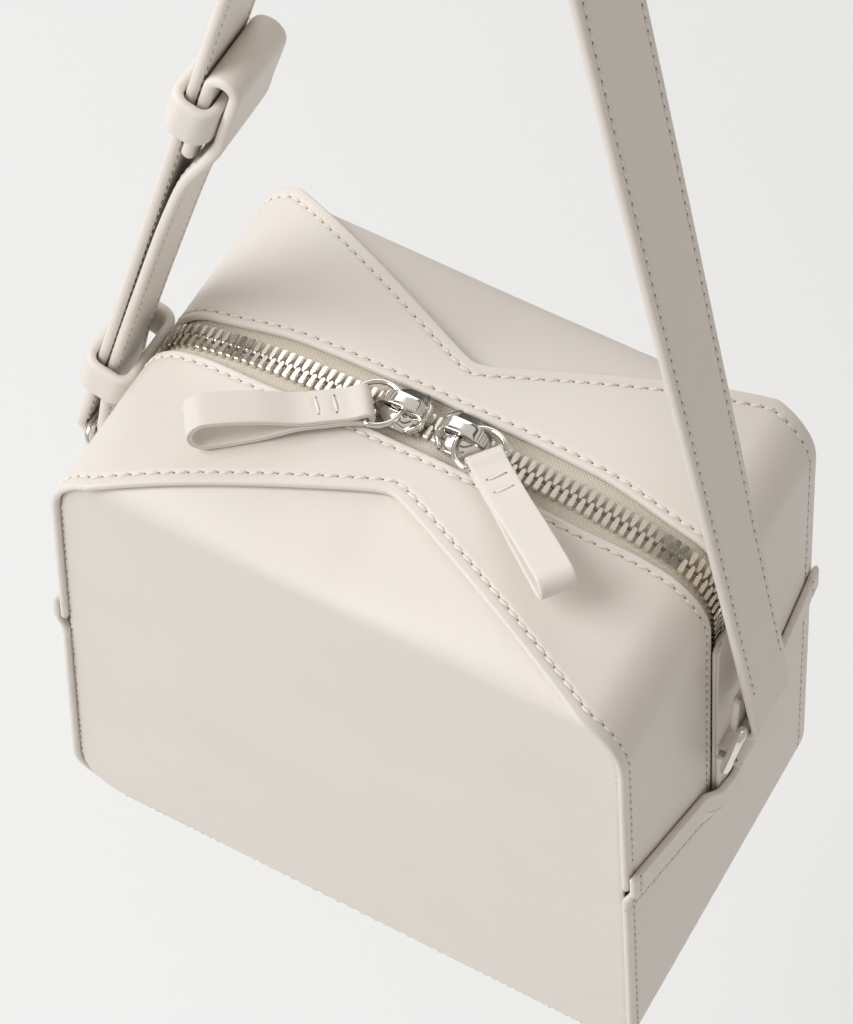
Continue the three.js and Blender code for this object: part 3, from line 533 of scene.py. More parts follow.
def top_gusset(name, node, facing):
    zones = SLOT_ROW + SEWN_ZONE, SEAM_ROW + SEWN_ZONE
    share, inset, depth = wrapped_section(LEATHER, EDGE_ROUND, 16, *zones)
    t = np.linspace(-1, 1, 301)[:, None]
    y_end = SLOT_END_WIDTH / 2 + (rim_depth - SLOT_END_WIDTH / 2) * share
    end = run_at_height(hem_height(y_end) - HEM_OVERLAP)
    side_top = run_of("side_top")
    beyond = np.clip((np.abs(t) - TOP_SHARE) / (1 - TOP_SHARE), 0, 1)
    run = np.clip(t / TOP_SHARE, -1, 1) * side_top + np.sign(t) * beyond * (end - side_top)
    place = on_outline(run)[0]
    seam = seam_depth(place) + RIM
    slot_edge = slot_half(place)
    y = slot_edge + (seam - slot_edge) * share + inset
    sunk = groove(seam - y - SEAM_ROW) + groove(y - slot_edge - SLOT_ROW)
    x, z = on_outline(run, wall - depth - np.where(depth < LEATHER / 2, sunk, 0))
    points = np.stack([facing * x, -facing * y, z], 2)
    add_piece(name, points, loft_faces(*points.shape[:2]), smooth_leather, node)


top_gusset("gusset_top_front", "top_gusset_front", 1)
top_gusset("gusset_top_back", "top_gusset_back", -1)

# Base gusset
# One wide leather band goes under the bag and up both ends. At each end it is folded double into a
# hem that dips to a V and lies over the top gussets, raised in the middle where the ring tab comes out.
TAB_WIDTH = 15
BASE_TUCK = 3.2          # how far the band draws back behind the panels under the base
HEM_ROWS = (10.5, 19.5)  # two rows of stitches below the hem's edge
HEM_EDGE = 1.0           # radius of the hem's fold
HEM_FINE = 22            # below the hem's edge to where its rows of points stay close
HEM_ZONE = 30            # and to where the even rows of the band begin
tab_bulge = 0.6 * TAB_WIDTH
tab_fade = 0.4 * TAB_WIDTH


def hem_lift(y, below):
    """How far the band stands off the gusset under it, at a distance below its hem."""
    over_gusset = wall * (1 - smooth_step((below - HEM_OVERLAP) / HEM_OVERLAP))
    middle = 1 - smooth_step((np.abs(y) - tab_bulge + 1) / tab_fade)
    over_tab = wall * middle * (1 - smooth_step((below - HEM_OVERLAP) / (2.2 * HEM_OVERLAP)))
    return over_gusset + over_tab


def band_reach(run):
    """Half the width of the band, which loses its rim in the bends down to the base."""
    bend_start, bend_end = run_of("side_end"), run_of("base_start")
    from_top = np.minimum(run, 2 * half_run - run)
    return rim_depth - BASE_TUCK * smooth_step((from_top - bend_start + 4) / (bend_end - bend_start))


def base_gusset():
    zone = SEAM_ROW + SEWN_ZONE
    share, inset, depth = wrapped_section(LEATHER, EDGE_ROUND, 60, zone, zone)
    side_y = (2 * share - 1) * rim_depth + inset
    turned = HEM_EDGE * (1 - np.cos(np.radians([3, 25, 45, 65, 90])))
    near = np.concatenate([turned, np.arange(1.5, HEM_FINE, FINE_STEP),
                           np.arange(HEM_FINE, HEM_ZONE, 0.8)])
    start = run_at_height(hem_height(side_y))
    rest = np.linspace(0, 1, 60)[1:]
    low = half_run - start - HEM_ZONE
    below = np.concatenate([near[:, None] + 0 * side_y, HEM_ZONE + rest[:, None] * low])
    run = start + below
    mirrored = 2 * half_run - run[-2::-1]
    below = np.concatenate([below, below[-2::-1]])
    run = np.concatenate([run, mirrored])
    fullness = np.sqrt(1 - (1 - np.clip(below / HEM_EDGE, 0, 1)) ** 2)
    across = LEATHER / 2 - depth
    reach = band_reach(run)
    y = (2 * share - 1) * reach + inset
    sunk = groove(reach - np.abs(y) - SEAM_ROW)
    for row in HEM_ROWS:
        sunk = sunk + groove(below - row)
    out = wall - LEATHER / 2 + across * fullness + hem_lift(y, below) - np.where(across > 0, sunk, 0)
    x, z = on_outline(run, out)
    points = np.stack([x, y + 0 * x, z], 2)
    add_piece("gusset_base", points, loft_faces(*points.shape[:2]), smooth_leather, "base_gusset")


base_gusset()

# Stitches
# Thick waxed thread of the leather's colour is sewn through every seam, hem and strap edge. Each stitch
# lies a little slanted in its row, and a small dark egg of painted shade marks the needle hole where it goes
# into the leather.
STITCH_PITCH = 4.1
STITCH_SLANT = 13        # degrees
STITCH_RISE = 0.18       # middle of a stitch above the bottom of its groove
REPEAT_SEED = 7
thread_material = leather_material("waxed_thread", (0.82, 0.775, 0.715), 0.6, grain=0.0)
# The needle holes are not cut. This dark brown is painted on small eggs as the shade inside each hole.
hole_shade_material = plain_material("needle_hole_shade", (0.26, 0.21, 0.17), 0.9)


def rounded_grain(name, size):
    """A small egg shape for one stitch or the painted shade of one hole, with its size along, across and out
    of the row.
    """
    bm = bmesh.new()
    bmesh.ops.create_uvsphere(bm, u_segments=8, v_segments=5, radius=0.5)
    bmesh.ops.rotate(bm, verts=bm.verts, matrix=Matrix.Rotation(math.pi / 2, 3, "Y"))
    bmesh.ops.scale(bm, verts=bm.verts, vec=[s * MM for s in size])
    mesh = bpy.data.meshes.new(name)
    bm.to_mesh(mesh)
    bm.free()
    mesh.polygons.foreach_set("use_smooth", [True] * len(mesh.polygons))
    return bpy.data.objects.new(name, mesh)


def repeat_tree():
    """Puts one part on every point of a mesh, turned to the point's own along and out directions."""
    tree = bpy.data.node_groups.new("repeat_on_points", "GeometryNodeTree")
    kinds = {"Geometry": "Geometry", "Part": "Object", "Slant": "Float", "Size Change": "Float",
             "Material": "Material"}
    for name, kind in kinds.items():
        tree.interface.new_socket(name, in_out="INPUT", socket_type="NodeSocket" + kind)
    tree.interface.new_socket("Geometry", in_out="OUTPUT", socket_type="NodeSocketGeometry")
    given = add_node(tree, "NodeGroupInput").outputs

    def direction(name):
        read = add_node(tree, "GeometryNodeInputNamedAttribute", {"Name": name}, data_type="FLOAT_VECTOR")
        return read.outputs["Attribute"]

    along = add_node(tree, "FunctionNodeAlignRotationToVector", {"Vector": direction("along")}, axis="X")
    upright = add_node(tree, "FunctionNodeAlignRotationToVector",
                       {"Rotation": along.outputs["Rotation"], "Vector": direction("out")},
                       axis="Z", pivot_axis="X")
    slant = add_node(tree, "FunctionNodeAxisAngleToRotation", {"Axis": (0, 0, 1), "Angle": given["Slant"]})
    slanted = add_node(tree, "FunctionNodeRotateRotation",
                       {"Rotation": upright.outputs["Rotation"], "Rotate By": slant.outputs["Rotation"]},
                       rotation_space="LOCAL")
    part = add_node(tree, "GeometryNodeObjectInfo", {"Object": given["Part"]})
    least = add_node(tree, "ShaderNodeMath", {0: 1, 1: given["Size Change"]}, operation="SUBTRACT")
    change = add_node(tree, "FunctionNodeRandomValue", {"Seed": REPEAT_SEED, 2: least.outputs[0], 3: 1},
                      data_type="FLOAT")
    repeat = add_node(tree, "GeometryNodeInstanceOnPoints", {
        "Points": given["Geometry"], "Instance": part.outputs["Geometry"],
        "Rotation": slanted.outputs["Rotation"], "Scale": change.outputs[1]})
    real = add_node(tree, "GeometryNodeRealizeInstances", {"Geometry": repeat.outputs["Instances"]})
    painted = add_node(tree, "GeometryNodeSetMaterial",
                       {"Geometry": real.outputs["Geometry"], "Material": given["Material"]})
    add_node(tree, "NodeGroupOutput", {"Geometry": painted.outputs["Geometry"]})
    return tree


repeat_on_points = repeat_tree()


def repeat_part(name, part, places, material, slant=0.0, change=0.0, node=None):
    """One piece made of a part repeated at places, which are rows of point, along and out."""
    places = np.asarray(places, float)
    points = places[:, 0] * MM + np.array(bag_middle)
    mesh = bpy.data.meshes.new(name + "_points")
    mesh.from_pydata(points.tolist(), [], [])
    for key, column in (("along", 1), ("out", 2)):
        attribute = mesh.attributes.new(key, "FLOAT_VECTOR", "POINT")
        attribute.data.foreach_set("vector", places[:, column].astype(np.float32).ravel())
    carrier = bpy.data.objects.new(name + "_carrier", mesh)
    bpy.context.scene.collection.objects.link(carrier)
    modifier = carrier.modifiers.new("repeat", "NODES")
    modifier.node_group = repeat_on_points
    named = {item.name: item.identifier for item in repeat_on_points.interface.items_tree
             if item.item_type == "SOCKET" and item.in_out == "INPUT"}
    modifier[named["Part"]] = part
    modifier[named["Slant"]] = math.radians(slant)
    modifier[named["Size Change"]] = change
    modifier[named["Material"]] = material
    evaluated = carrier.evaluated_get(bpy.context.evaluated_depsgraph_get())
    made = bpy.data.meshes.new_from_object(evaluated)
    carrier.modifiers.clear()
    bpy.data.objects.remove(carrier)
    made.name = name
    piece = bpy.data.objects.new(name, made)
    bpy.context.scene.collection.objects.link(piece)
    finish_piece(piece, node)
    return piece


def unit(vectors):
    return vectors / np.linalg.norm(vectors, axis=-1, keepdims=True)


def along_row(path, out, pitch, phase=0.5):
    """Places a pitch apart along a path of points, each with its direction and the way out."""
    steps = np.linalg.norm(np.diff(path, axis=0), axis=1)
    run = np.concatenate([[0], np.cumsum(steps)])
    count = max(1, round(run[-1] / pitch))
    at = (np.arange(count) + phase) * run[-1] / count
    at = at[at < run[-1]]
    forward_way = unit(np.gradient(path, axis=0))
    columns = [np.stack([np.interp(at, run, values[:, k]) for k in range(3)], 1)
               for values in (path, forward_way, out)]
    return np.stack([columns[0], unit(columns[1]), unit(columns[2])], 1)


one_stitch = rounded_grain("one_stitch", (3.3, 1.05, 0.85))
one_hole = rounded_grain("one_hole", (0.85, 0.6, 0.5))


def sew(name, rows):
    """Stitches and the painted shade of their needle holes along rows, which are pairs of a path in the
    groove and its way out.
    """
    stitches = np.concatenate([along_row(path, out, STITCH_PITCH) for path, out in rows])
    hole_shades = np.concatenate([along_row(path, out, STITCH_PITCH, phase=0.0) for path, out in rows])
    stitches[:, 0] += STITCH_RISE * stitches[:, 2]
    repeat_part(name, one_stitch, stitches, thread_material, STITCH_SLANT, 0.08)
    # Small dark eggs between the stitches: painted shade for the needle holes.
    repeat_part(name + "_holes", one_hole, hole_shades, hole_shade_material)


def row_on_band(run, y, offset):
    """A path on the band round the bag, with the way out from it."""
    x, z = on_outline(run, offset)
    above_x, above_z = on_outline(run, offset + 1)
    path = np.stack([x, y + 0 * x, z], 1)
    return path, np.stack([above_x - x, 0 * x, above_z - z], 1)


def gusset_rows(facing):
    end_seam = run_at_height(hem_height(rim_depth))
    end_slot = run_at_height(hem_height(SLOT_END_WIDTH / 2))
    rows = []
    for run_end, low_edge in ((end_seam, False), (end_slot, True)):
        run = np.linspace(-run_end, run_end, 700)
        place = on_outline(run)[0]
        y = slot_half(place) + SLOT_ROW if low_edge else seam_depth(place) + RIM - SEAM_ROW
        path, out = row_on_band(run, -y, wall - GROOVE_DEPTH)
        rows.append((path * (facing, facing, 1), out * (facing, facing, 1)))
    return rows


def base_rows():
    rows = []
    start = run_at_height(hem_height(rim_depth - SEAM_ROW)) + 1
    for side in (-1, 1):
        run = np.linspace(start, 2 * half_run - start, 900)
        y_side = band_reach(run) - SEAM_ROW
        below = np.minimum(run, 2 * half_run - run) - start + 1
        rows.append(row_on_band(run, side * y_side, wall - GROOVE_DEPTH + hem_lift(y_side, below)))
    for below in HEM_ROWS:
        y = np.linspace(-rim_depth + SEAM_ROW + 1, rim_depth - SEAM_ROW - 1, 300)
        run = run_at_height(hem_height(y)) + below
        path, out = row_on_band(run, y, wall - GROOVE_DEPTH + hem_lift(y, below))
        rows += [(path, out), (path * (-1, 1, 1), out * (-1, 1, 1))]
    return rows


sew("stitches_top_front", gusset_rows(1))
sew("stitches_top_back", gusset_rows(-1))
sew("stitches_base", base_rows())

# Zip tapes
# Each tape is a beige herringbone weave, sewn under the folded edge of its gusset. Only the strip
# between the teeth and the gusset shows.
TAPE_WIDTH = 12
TAPE_THICKNESS = 0.8
TAPE_BEIGE = (0.76, 0.69, 0.59)
WEAVE_SCALE = 0.55       # of the slanting ribs, per millimetre
CROSS_SCALE = 0.42
WEAVE_DEPTH = 0.0003     # metres


def tape_material():
    """Woven tape: slanting ribs that turn at each herringbone, from the piece's own UV in millimetres, with
    painted shade making the grooves darker and the ribs lighter.
    """
    material = plain_material("woven_tape", TAPE_BEIGE, 0.85)
    tree = material.node_tree
    place = add_node(tree, "ShaderNodeUVMap", uv_map="strip").outputs["UV"]
    weave = add_node(tree, "ShaderNodeTexWave",
                     {"Vector": place, "Scale": WEAVE_SCALE, "Distortion": 0.6, "Detail Scale": 2},
                     wave_type="BANDS", bands_direction="DIAGONAL")
    cross = add_node(tree, "ShaderNodeTexWave", {"Vector": place, "Scale": CROSS_SCALE},
                     wave_type="BANDS", bands_direction="Y")
    both = add_node(tree, "ShaderNodeMath", {0: weave.outputs["Fac"], 1: cross.outputs["Fac"], 2: 0.1},
                    operation="MULTIPLY_ADD").outputs[0]
    # Painted shade: the colour follows the weave's height, darker in its grooves and lighter on its ribs.
    shade = two_shades(tree, both, TAPE_BEIGE, 0.80, 1.12)
    paint(material, shade, height=both, strength=0.6, distance=WEAVE_DEPTH)
    return material


woven_tape = tape_material()
zip_end_run = run_at_height(hem_height(0) + HEM_OVERLAP / 2)


def zip_tape(name, node, side):
    share, inset, depth = wrapped_section(TAPE_THICKNESS, 0.3, 14)
    run = np.linspace(-zip_end_run, zip_end_run, 200)[:, None]
    y = FIT / 2 + (TAPE_WIDTH - FIT / 2) * share + inset
    x, z = on_outline(run, -FIT / 2 - depth)
    points = np.stack([x, side * y + 0 * x, z], 2)
    piece = add_piece(name, points, loft_faces(*points.shape[:2]), woven_tape, node)
    strip = np.stack([run + 0 * y, y + 0 * run], 2).reshape(-1, 2)
    layer = piece.data.uv_layers.new(name="strip")
    corner_points = np.zeros(len(piece.data.loops), np.int32)
    piece.data.loops.foreach_get("vertex_index", corner_points)
    layer.data.foreach_set("uv", strip[corner_points].astype(np.float32).ravel())


zip_tape("tape_front", "zip_tape_front", -1)
zip_tape("tape_back", "zip_tape_back", 1)

# Zip teeth
# Bright plated metal teeth are clamped on the inner edges of the tapes, one row from each side, and
# their noses take turns along the middle.
TOOTH_PITCH = 2.6        # of one side
TOOTH_REACH = 4.0        # outer end from the middle
TOOTH_WIDTH = 1.6
NOSE_WIDTH = 0.95
TOOTH_HEIGHT = 2.0
TOOTH_EDGE = 0.24        # width of its small bevels
PLATING_SCALE = 260      # of the unevenness in the plating, per metre


def metal_material(name, colour, roughness):
    """Bright plating with a faint unevenness in its gloss."""
    material = plain_material(name, colour, roughness, 1.0)
    tree = material.node_tree
    place = add_node(tree, "ShaderNodeTexCoord").outputs["Object"]
    noise = add_node(tree, "ShaderNodeTexNoise", {"Vector": place, "Scale": PLATING_SCALE, "Detail": 3})
    gloss = add_node(tree, "ShaderNodeMapRange", {
        "Value": noise.outputs["Fac"], "To Min": roughness * 0.7, "To Max": roughness * 1.5})
    paint(material, roughness=gloss.outputs["Result"])
    return material


bright_metal = metal_material("bright_plating", (0.80, 0.775, 0.73), 0.10)
tooth_metal = metal_material("tooth_plating", (0.84, 0.80, 0.73), 0.13)


def prism(bm, outline_points, low, high):
    """A solid between two heights over an outline, in a bmesh, in metres."""
    floor = [bm.verts.new((x * MM, y * MM, low * MM)) for x, y in outline_points]
    roof = [bm.verts.new((x * MM, y * MM, high * MM)) for x, y in outline_points]
    bm.faces.new(reversed(floor))
    bm.faces.new(roof)
    count = len(floor)
    for i in range(count):
        k = (i + 1) % count
        bm.faces.new((floor[i], floor[k], roof[k], roof[i]))


def zip_tooth():
    """A clamped body that narrows to a nose across the middle."""
    half, nose = TOOTH_WIDTH / 2, NOSE_WIDTH / 2
    plan = [(-half, TOOTH_REACH), (-half, 1.5), (-nose, 0.9), (-nose, -0.35),
            (nose, -0.35), (nose, 0.9), (half, 1.5), (half, TOOTH_REACH)]
    bm = bmesh.new()
    prism(bm, [(x, -y) for x, y in plan][::-1], 0.0, TOOTH_HEIGHT)
    bmesh.ops.bevel(bm, geom=bm.edges[:], offset=TOOTH_EDGE * MM, segments=2, affect="EDGES")
    bmesh.ops.recalc_face_normals(bm, faces=bm.faces)
    mesh = bpy.data.meshes.new("one_tooth")
    bm.to_mesh(mesh)
    bm.free()
    return bpy.data.objects.new("one_tooth", mesh)


def zip_teeth():
    rows = []
    for facing, phase in ((1, 0.25), (-1, 0.75)):
        run = np.linspace(-zip_end_run + 2, zip_end_run - 2, 900)
        path, out = row_on_band(run, 0.0, FIT / 2)
        places = along_row(path, out, TOOTH_PITCH, phase)
        places[:, 1] *= facing
        rows.append(places)
    repeat_part("zip_teeth", zip_tooth(), np.concatenate(rows), tooth_metal, node="zip_chain")


zip_teeth()

# Sliders
# Two polished cast sliders stand back to back at mid-length. Each has a bevelled shield plate with a lip
# at its wide end, flanges down beside the teeth, and a flat-topped bridge over the pull's ring.
SLIDER_LENGTH = 15
SLIDER_WIDTH = 13.5
SLIDER_SPACING = 18.6
SLIDER_PLATE = 2.0
SLIDER_FLANGE = 1.2
CHAIN_WIDTH = 8
BRIDGE_HEIGHT = 6.5
BRIDGE_WIDTH = 4.6
BRIDGE_THICKNESS = 1.5


def smooth_path(points, spacing, closed=False):
    """An even path through points, rounded at each of them."""
    steps = 24
    points = np.asarray(points, float)
    if closed:
        points = np.concatenate([points[-2:], points, points[:3]])
    else:
        points = np.concatenate([2 * points[:1] - points[1:2], points, 2 * points[-1:] - points[-2:-1]])
    gaps = np.sqrt(np.linalg.norm(np.diff(points, axis=0), axis=1))
    knots = np.concatenate([[0], np.cumsum(gaps)])
    made = []
    for i in range(1, len(points) - 2):
        t0, t1, t2, t3 = knots[i - 1:i + 3]
        t = np.linspace(t1, t2, steps, endpoint=False)[:, None]
        p0, p1, p2, p3 = points[i - 1:i + 3]
        a1 = (t1 - t) / (t1 - t0) * p0 + (t - t0) / (t1 - t0) * p1
        a2 = (t2 - t) / (t2 - t1) * p1 + (t - t1) / (t2 - t1) * p2
        a3 = (t3 - t) / (t3 - t2) * p2 + (t - t2) / (t3 - t2) * p3
        b1 = (t2 - t) / (t2 - t0) * a1 + (t - t0) / (t2 - t0) * a2
        b2 = (t3 - t) / (t3 - t1) * a2 + (t - t1) / (t3 - t1) * a3
        made.append((t2 - t) / (t2 - t1) * b1 + (t - t1) / (t2 - t1) * b2)
    path = np.concatenate(made + [points[-2:-1]])
    if closed:
        path = path[steps:steps * (len(points) - 4) + 1]
    run = np.concatenate([[0], np.cumsum(np.linalg.norm(np.diff(path, axis=0), axis=1))])
    count = max(2, round(run[-1] / spacing))
    at = np.linspace(0, run[-1], count + 1)
    even = np.stack([np.interp(at, run, path[:, k]) for k in range(path.shape[1])], 1)
    return even[:-1] if closed else even


def path_tangents(path, closed=False):
    if closed:
        return unit(np.roll(path, -1, axis=0) - np.roll(path, 1, axis=0))
    return unit(np.gradient(path, axis=0))


def on_mid_plane(flat):
    """Points from rows of X and Z."""
    return np.stack([flat[:, 0], 0 * flat[:, 0], flat[:, 1]], 1)


def strip_points(path, out, across, a, o):
    """Rows of section points, a across and o out, along a path of points in the bag's frame."""
    a, o = np.broadcast_arrays(a, o)
    return (path[:, None] + across[:, None] * a[..., None] + out[:, None] * o[..., None])


def strip_faces(points, closed=False, first=0):
    rows, columns = points.shape[:2]
    return [tuple(first + i for i in face) for face in loft_faces(rows, columns, closed)]


def slider_plate(bm):
    l, w = SLIDER_LENGTH / 2, SLIDER_WIDTH / 2
    plan = [(-l, -0.5 * w), (-0.62 * l, -w), (0.2 * l, -w), (l, -0.42 * w),
            (l, 0.42 * w), (0.2 * l, w), (-0.62 * l, w), (-l, 0.5 * w)]
    prism(bm, plan, FIT, FIT + SLIDER_PLATE)
    lip = [(-l, -0.5 * w), (-0.62 * l, -w), (-0.45 * l, -w), (-0.8 * l, -0.42 * w),
           (-0.8 * l, 0.42 * w), (-0.45 * l, w), (-0.62 * l, w), (-l, 0.5 * w)]
    prism(bm, lip, FIT + 0.5 * SLIDER_PLATE, FIT + SLIDER_PLATE + 0.55)
    foot = -0.6 * wall
    flange_y = (CHAIN_WIDTH + SLIDER_FLANGE) / 2 + FIT
    for side in (-1, 1):
        near = side * flange_y - SLIDER_FLANGE / 2
        far = side * flange_y + SLIDER_FLANGE / 2
        box = [(-0.6 * l, near), (0.35 * l, near), (0.35 * l, far), (-0.6 * l, far)]
        prism(bm, box, foot, FIT + SLIDER_PLATE / 2)


def slider_bridge():
    l, h = SLIDER_LENGTH / 2, BRIDGE_HEIGHT
    base = FIT + SLIDER_PLATE - 0.6
    side_view = [(-0.74 * l, base), (-0.78 * l, 0.5 * h), (-0.66 * l, 0.8 * h), (-0.3 * l, 0.885 * h),
                 (0.3 * l, 0.87 * h), (0.62 * l, 0.72 * h), (0.8 * l, 0.5 * h), (0.86 * l, base)]
    path = on_mid_plane(smooth_path(side_view, 0.5))
    along = path_tangents(path)
    out = np.stack([-along[:, 2], 0 * along[:, 0], along[:, 0]], 1)
    across = np.tile([0.0, 1.0, 0.0], (len(path), 1))
    share, inset, depth = wrapped_section(BRIDGE_THICKNESS, 0.32, 5)
    taper = 1 - 0.22 * smooth_step((np.abs(path[:, 0]) - 0.45 * l) / (0.4 * l))
    a = (share - 0.5) * BRIDGE_WIDTH * taper[:, None] + inset
    return strip_points(path, out, across, a, BRIDGE_THICKNESS / 2 - depth)


def slider(name, node, direction):
    bm = bmesh.new()
    slider_plate(bm)
    bmesh.ops.recalc_face_normals(bm, faces=bm.faces)
    bmesh.ops.bevel(bm, geom=bm.edges[:], offset=0.28 * MM, segments=3, affect="EDGES")
    bm.verts.index_update()
    points = np.array([v.co for v in bm.verts]) / MM
    faces = [tuple(v.index for v in face.verts) for face in bm.faces]
    bm.free()
    bridge = slider_bridge()
    faces += strip_faces(bridge, first=len(points))
    points = np.concatenate([points, bridge.reshape(-1, 3)]) * (direction, direction, 1)
    run = direction * SLIDER_SPACING / 2
    x, z = on_outline(run, wall)
    ahead_x, ahead_z = on_outline(run + 1, wall)
    behind_x, behind_z = on_outline(run - 1, wall)
    tilt = math.atan2(ahead_z - behind_z, ahead_x - behind_x)
    turned = np.stack([
        points[:, 0] * math.cos(tilt) - points[:, 2] * math.sin(tilt) + x,
        points[:, 1],
        points[:, 0] * math.sin(tilt) + points[:, 2] * math.cos(tilt) + z,
    ], 1)
    add_piece(name, turned, faces, bright_metal, node)


slider("slider_left", "zip_slider_left", -1)
slider("slider_right", "zip_slider_right", 1)

# Pulls
# A round wire ring hangs in each bridge, and a doubled leather strip is folded over it, sewn through
# with two short bars, and stands open at its far end. Its cut edges show two bonded layers.
PULL_WIDTH = 10.5
PULL_LENGTH = 48
PULL_LEATHER = 1.8
PULL_SEWN = 18
PULL_RING_RADIUS = 7.2
PULL_RING_FLAT = 58      # degrees each side of the part inside the fold
PULL_WIRE = 1.6
PULL_BARS = (7.5, 12.5)  # sewn bars from the ring
BAR_LENGTH = 5.6
pull_bar = PULL_RING_RADIUS * math.cos(math.radians(PULL_RING_FLAT))
pull_leather = leather_material("pull_leather", CREAM, 0.44)
one_bar = rounded_grain("one_bar", (BAR_LENGTH, 0.8, 0.7))


def wire_points(path, out, across, radius, sides):
    angles = np.linspace(0, 2 * math.pi, sides, endpoint=False)[None, :]
    return strip_points(path, out, across, radius * np.cos(angles), radius * np.sin(angles))


def pull(side_name, direction, heading, opening, lift):
    """A ring and a folded strip, with its heading in degrees, the height of its open end and its lift."""
    x = direction * (SLIDER_SPACING / 2 + 0.45 * SLIDER_LENGTH)
    z = on_outline(SLIDER_SPACING / 2, wall)[1] + 0.58 * BRIDGE_HEIGHT
    centre = np.array([x, -0.42 * PULL_RING_RADIUS, float(z)])
    angle = math.radians(heading)
    ahead = np.array([math.cos(angle), math.sin(angle), 0])
    side = np.array([-math.sin(angle), math.cos(angle), 0])
    up = np.array([0, 0, 1.0])

    turn_by = np.radians(np.linspace(PULL_RING_FLAT, 360 - PULL_RING_FLAT, 60))
    arc = np.stack([np.cos(turn_by), np.sin(turn_by)], 1) * PULL_RING_RADIUS
    chord = np.linspace(arc[-1], arc[0], 12)[1:-1]
    ring = np.concatenate([arc, chord])
    path = centre + ring[:, :1] * ahead + ring[:, 1:] * side
    along = path_tangents(path, closed=True)
    ring_out = np.cross(along, up)
    points = wire_points(path, np.tile(up, (len(path), 1)), ring_out, PULL_WIRE / 2, 16)
    add_piece("ring_of_pull_" + side_name, points, strip_faces(points, True), bright_metal,
              "pull_ring_" + side_name)

    grip = PULL_WIRE / 2 + FIT + PULL_LEATHER / 2
    flat = (PULL_LEATHER + FIT) / 2
    bulb = opening / 2
    far = PULL_LENGTH - bulb

    def arc_at(middle, radius, first, last, count):
        spread = np.radians(np.linspace(first, last, count))
        return [(middle + radius * math.cos(a), radius * math.sin(a)) for a in spread]

    profile = arc_at(0, grip, 90, 270, 9)
    profile += [(0.22 * PULL_SEWN, -flat), (0.6 * PULL_SEWN, -flat), (PULL_SEWN, -1.15 * flat),
                (0.62 * PULL_LENGTH, -0.75 * bulb)]
    profile += arc_at(far, bulb, -70, 70, 9)
    profile += [(0.62 * PULL_LENGTH, 0.75 * bulb), (PULL_SEWN, 1.15 * flat), (0.6 * PULL_SEWN, flat),
                (0.22 * PULL_SEWN, flat)]
    even = smooth_path(profile, 0.6, closed=True)
    start = centre + ahead * pull_bar
    tip_spot = start + ahead * far
    rest = bulb + PULL_LEATHER / 2 + 4 * FIT + lift
    tip = math.atan2(start[2] - float(on_outline(tip_spot[0], wall)[1]) - rest, far)

    def placed(flat_points):
        s, t = flat_points[:, :1], flat_points[:, 1:]
        return (start + ahead * (s * math.cos(tip) + t * math.sin(tip))
                + up * (t * math.cos(tip) - s * math.sin(tip)))

    path = placed(even)
    along = path_tangents(path, closed=True)
    across = np.tile(side, (len(path), 1))
    out = np.cross(across, along)
    middle = placed(np.array([[0.5 * far, 0.0]]))
    if np.sum((path - middle) * out) < 0:
        out = -out
    share, inset, depth = wrapped_section(PULL_LEATHER, PULL_LEATHER / 4, 14, two_layers=True)
    sunk = 0
    for bar in PULL_BARS:
        near_bar = np.exp(-(((even[:, :1] - bar) / 0.9) ** 2)) * (np.abs(even[:, 1:]) < 2 * flat)
        sunk = sunk + near_bar * np.clip((0.6 * BAR_LENGTH - np.abs((share - 0.5) * PULL_WIDTH)) / 1.2, 0, 1)
    o = PULL_LEATHER / 2 - depth - np.where(depth < 0.5 * PULL_LEATHER, 0.3 * sunk, 0)
    points = strip_points(path, out, across, (share - 0.5) * PULL_WIDTH + inset, o)
    add_piece("pull_" + side_name, points, strip_faces(points, True), pull_leather,
              "pull_loop_" + side_name)

    # A dark egg of painted shade at both ends of each sewn bar stands for the shade in its needle holes.
    places, hole_shades = [], []
    for bar in PULL_BARS:
        for face in (1, -1):
            spot = placed(np.array([[bar, face * (flat + PULL_LEATHER / 2)]]))[0]
            facing = placed(np.array([[bar, face * (flat + 5)]]))[0] - placed(np.array([[bar, 0.0]]))[0]
            facing = facing / np.linalg.norm(facing)
            places.append((spot - 0.08 * facing, side, facing))
            for end in (-1, 1):
                hole_shades.append((spot + side * end * 0.5 * BAR_LENGTH - 0.2 * facing, side, facing))
    repeat_part("bars_of_pull_" + side_name, one_bar, places, thread_material, 6)
    repeat_part("bar_holes_of_pull_" + side_name, one_hole, hole_shades, hole_shade_material)


pull("left", -1, heading=217, opening=11, lift=0)
pull("right", 1, heading=322, opening=7, lift=7)

# Strap rings
# A rectangular ring of thick polished wire hangs at each end of the bag. The tab's loop goes round its
# lower bar and the strap round its upper one.
RING_WIDTH = 26
RING_HEIGHT = 24
RING_WIRE = 3.0
RING_BEND = 4.0          # of the middle of the wire at each corner
RING_OUT = 3             # room between the ring and the strip behind it
RING_DROP = 6            # lower bar below the ends of the hem
RING_LEANS = {"right": 81, "left": 64}   # degrees from level
SIDES = {"right": 1, "left": -1}

tab_wall = float(on_outline(run_at_height(HEM_HEIGHT), wall + FIT + LEATHER / 2)[0])
lower_bar = np.array([tab_wall + LEATHER / 2 + RING_OUT + RING_WIRE / 2, HEM_HEIGHT - RING_DROP])


def arc_points(centre, radius, first, last, turn=6.0):
    """Points round part of a circle, a few degrees apart, both ends included."""
    count = max(2, round(abs(last - first) / turn))
    angles = np.radians(np.linspace(first, last, count + 1))
    return np.asarray(centre) + radius * np.stack([np.cos(angles), np.sin(angles)], 1)


def rounded_rectangle(width, height, radius):
    w, h = width / 2 - radius, height / 2 - radius
    corners = ((w, h, 0), (-w, h, 90), (-w, -h, 180), (w, -h, 270))
    return np.concatenate([arc_points((x, y), radius, first, first + 90, 9) for x, y, first in corners])


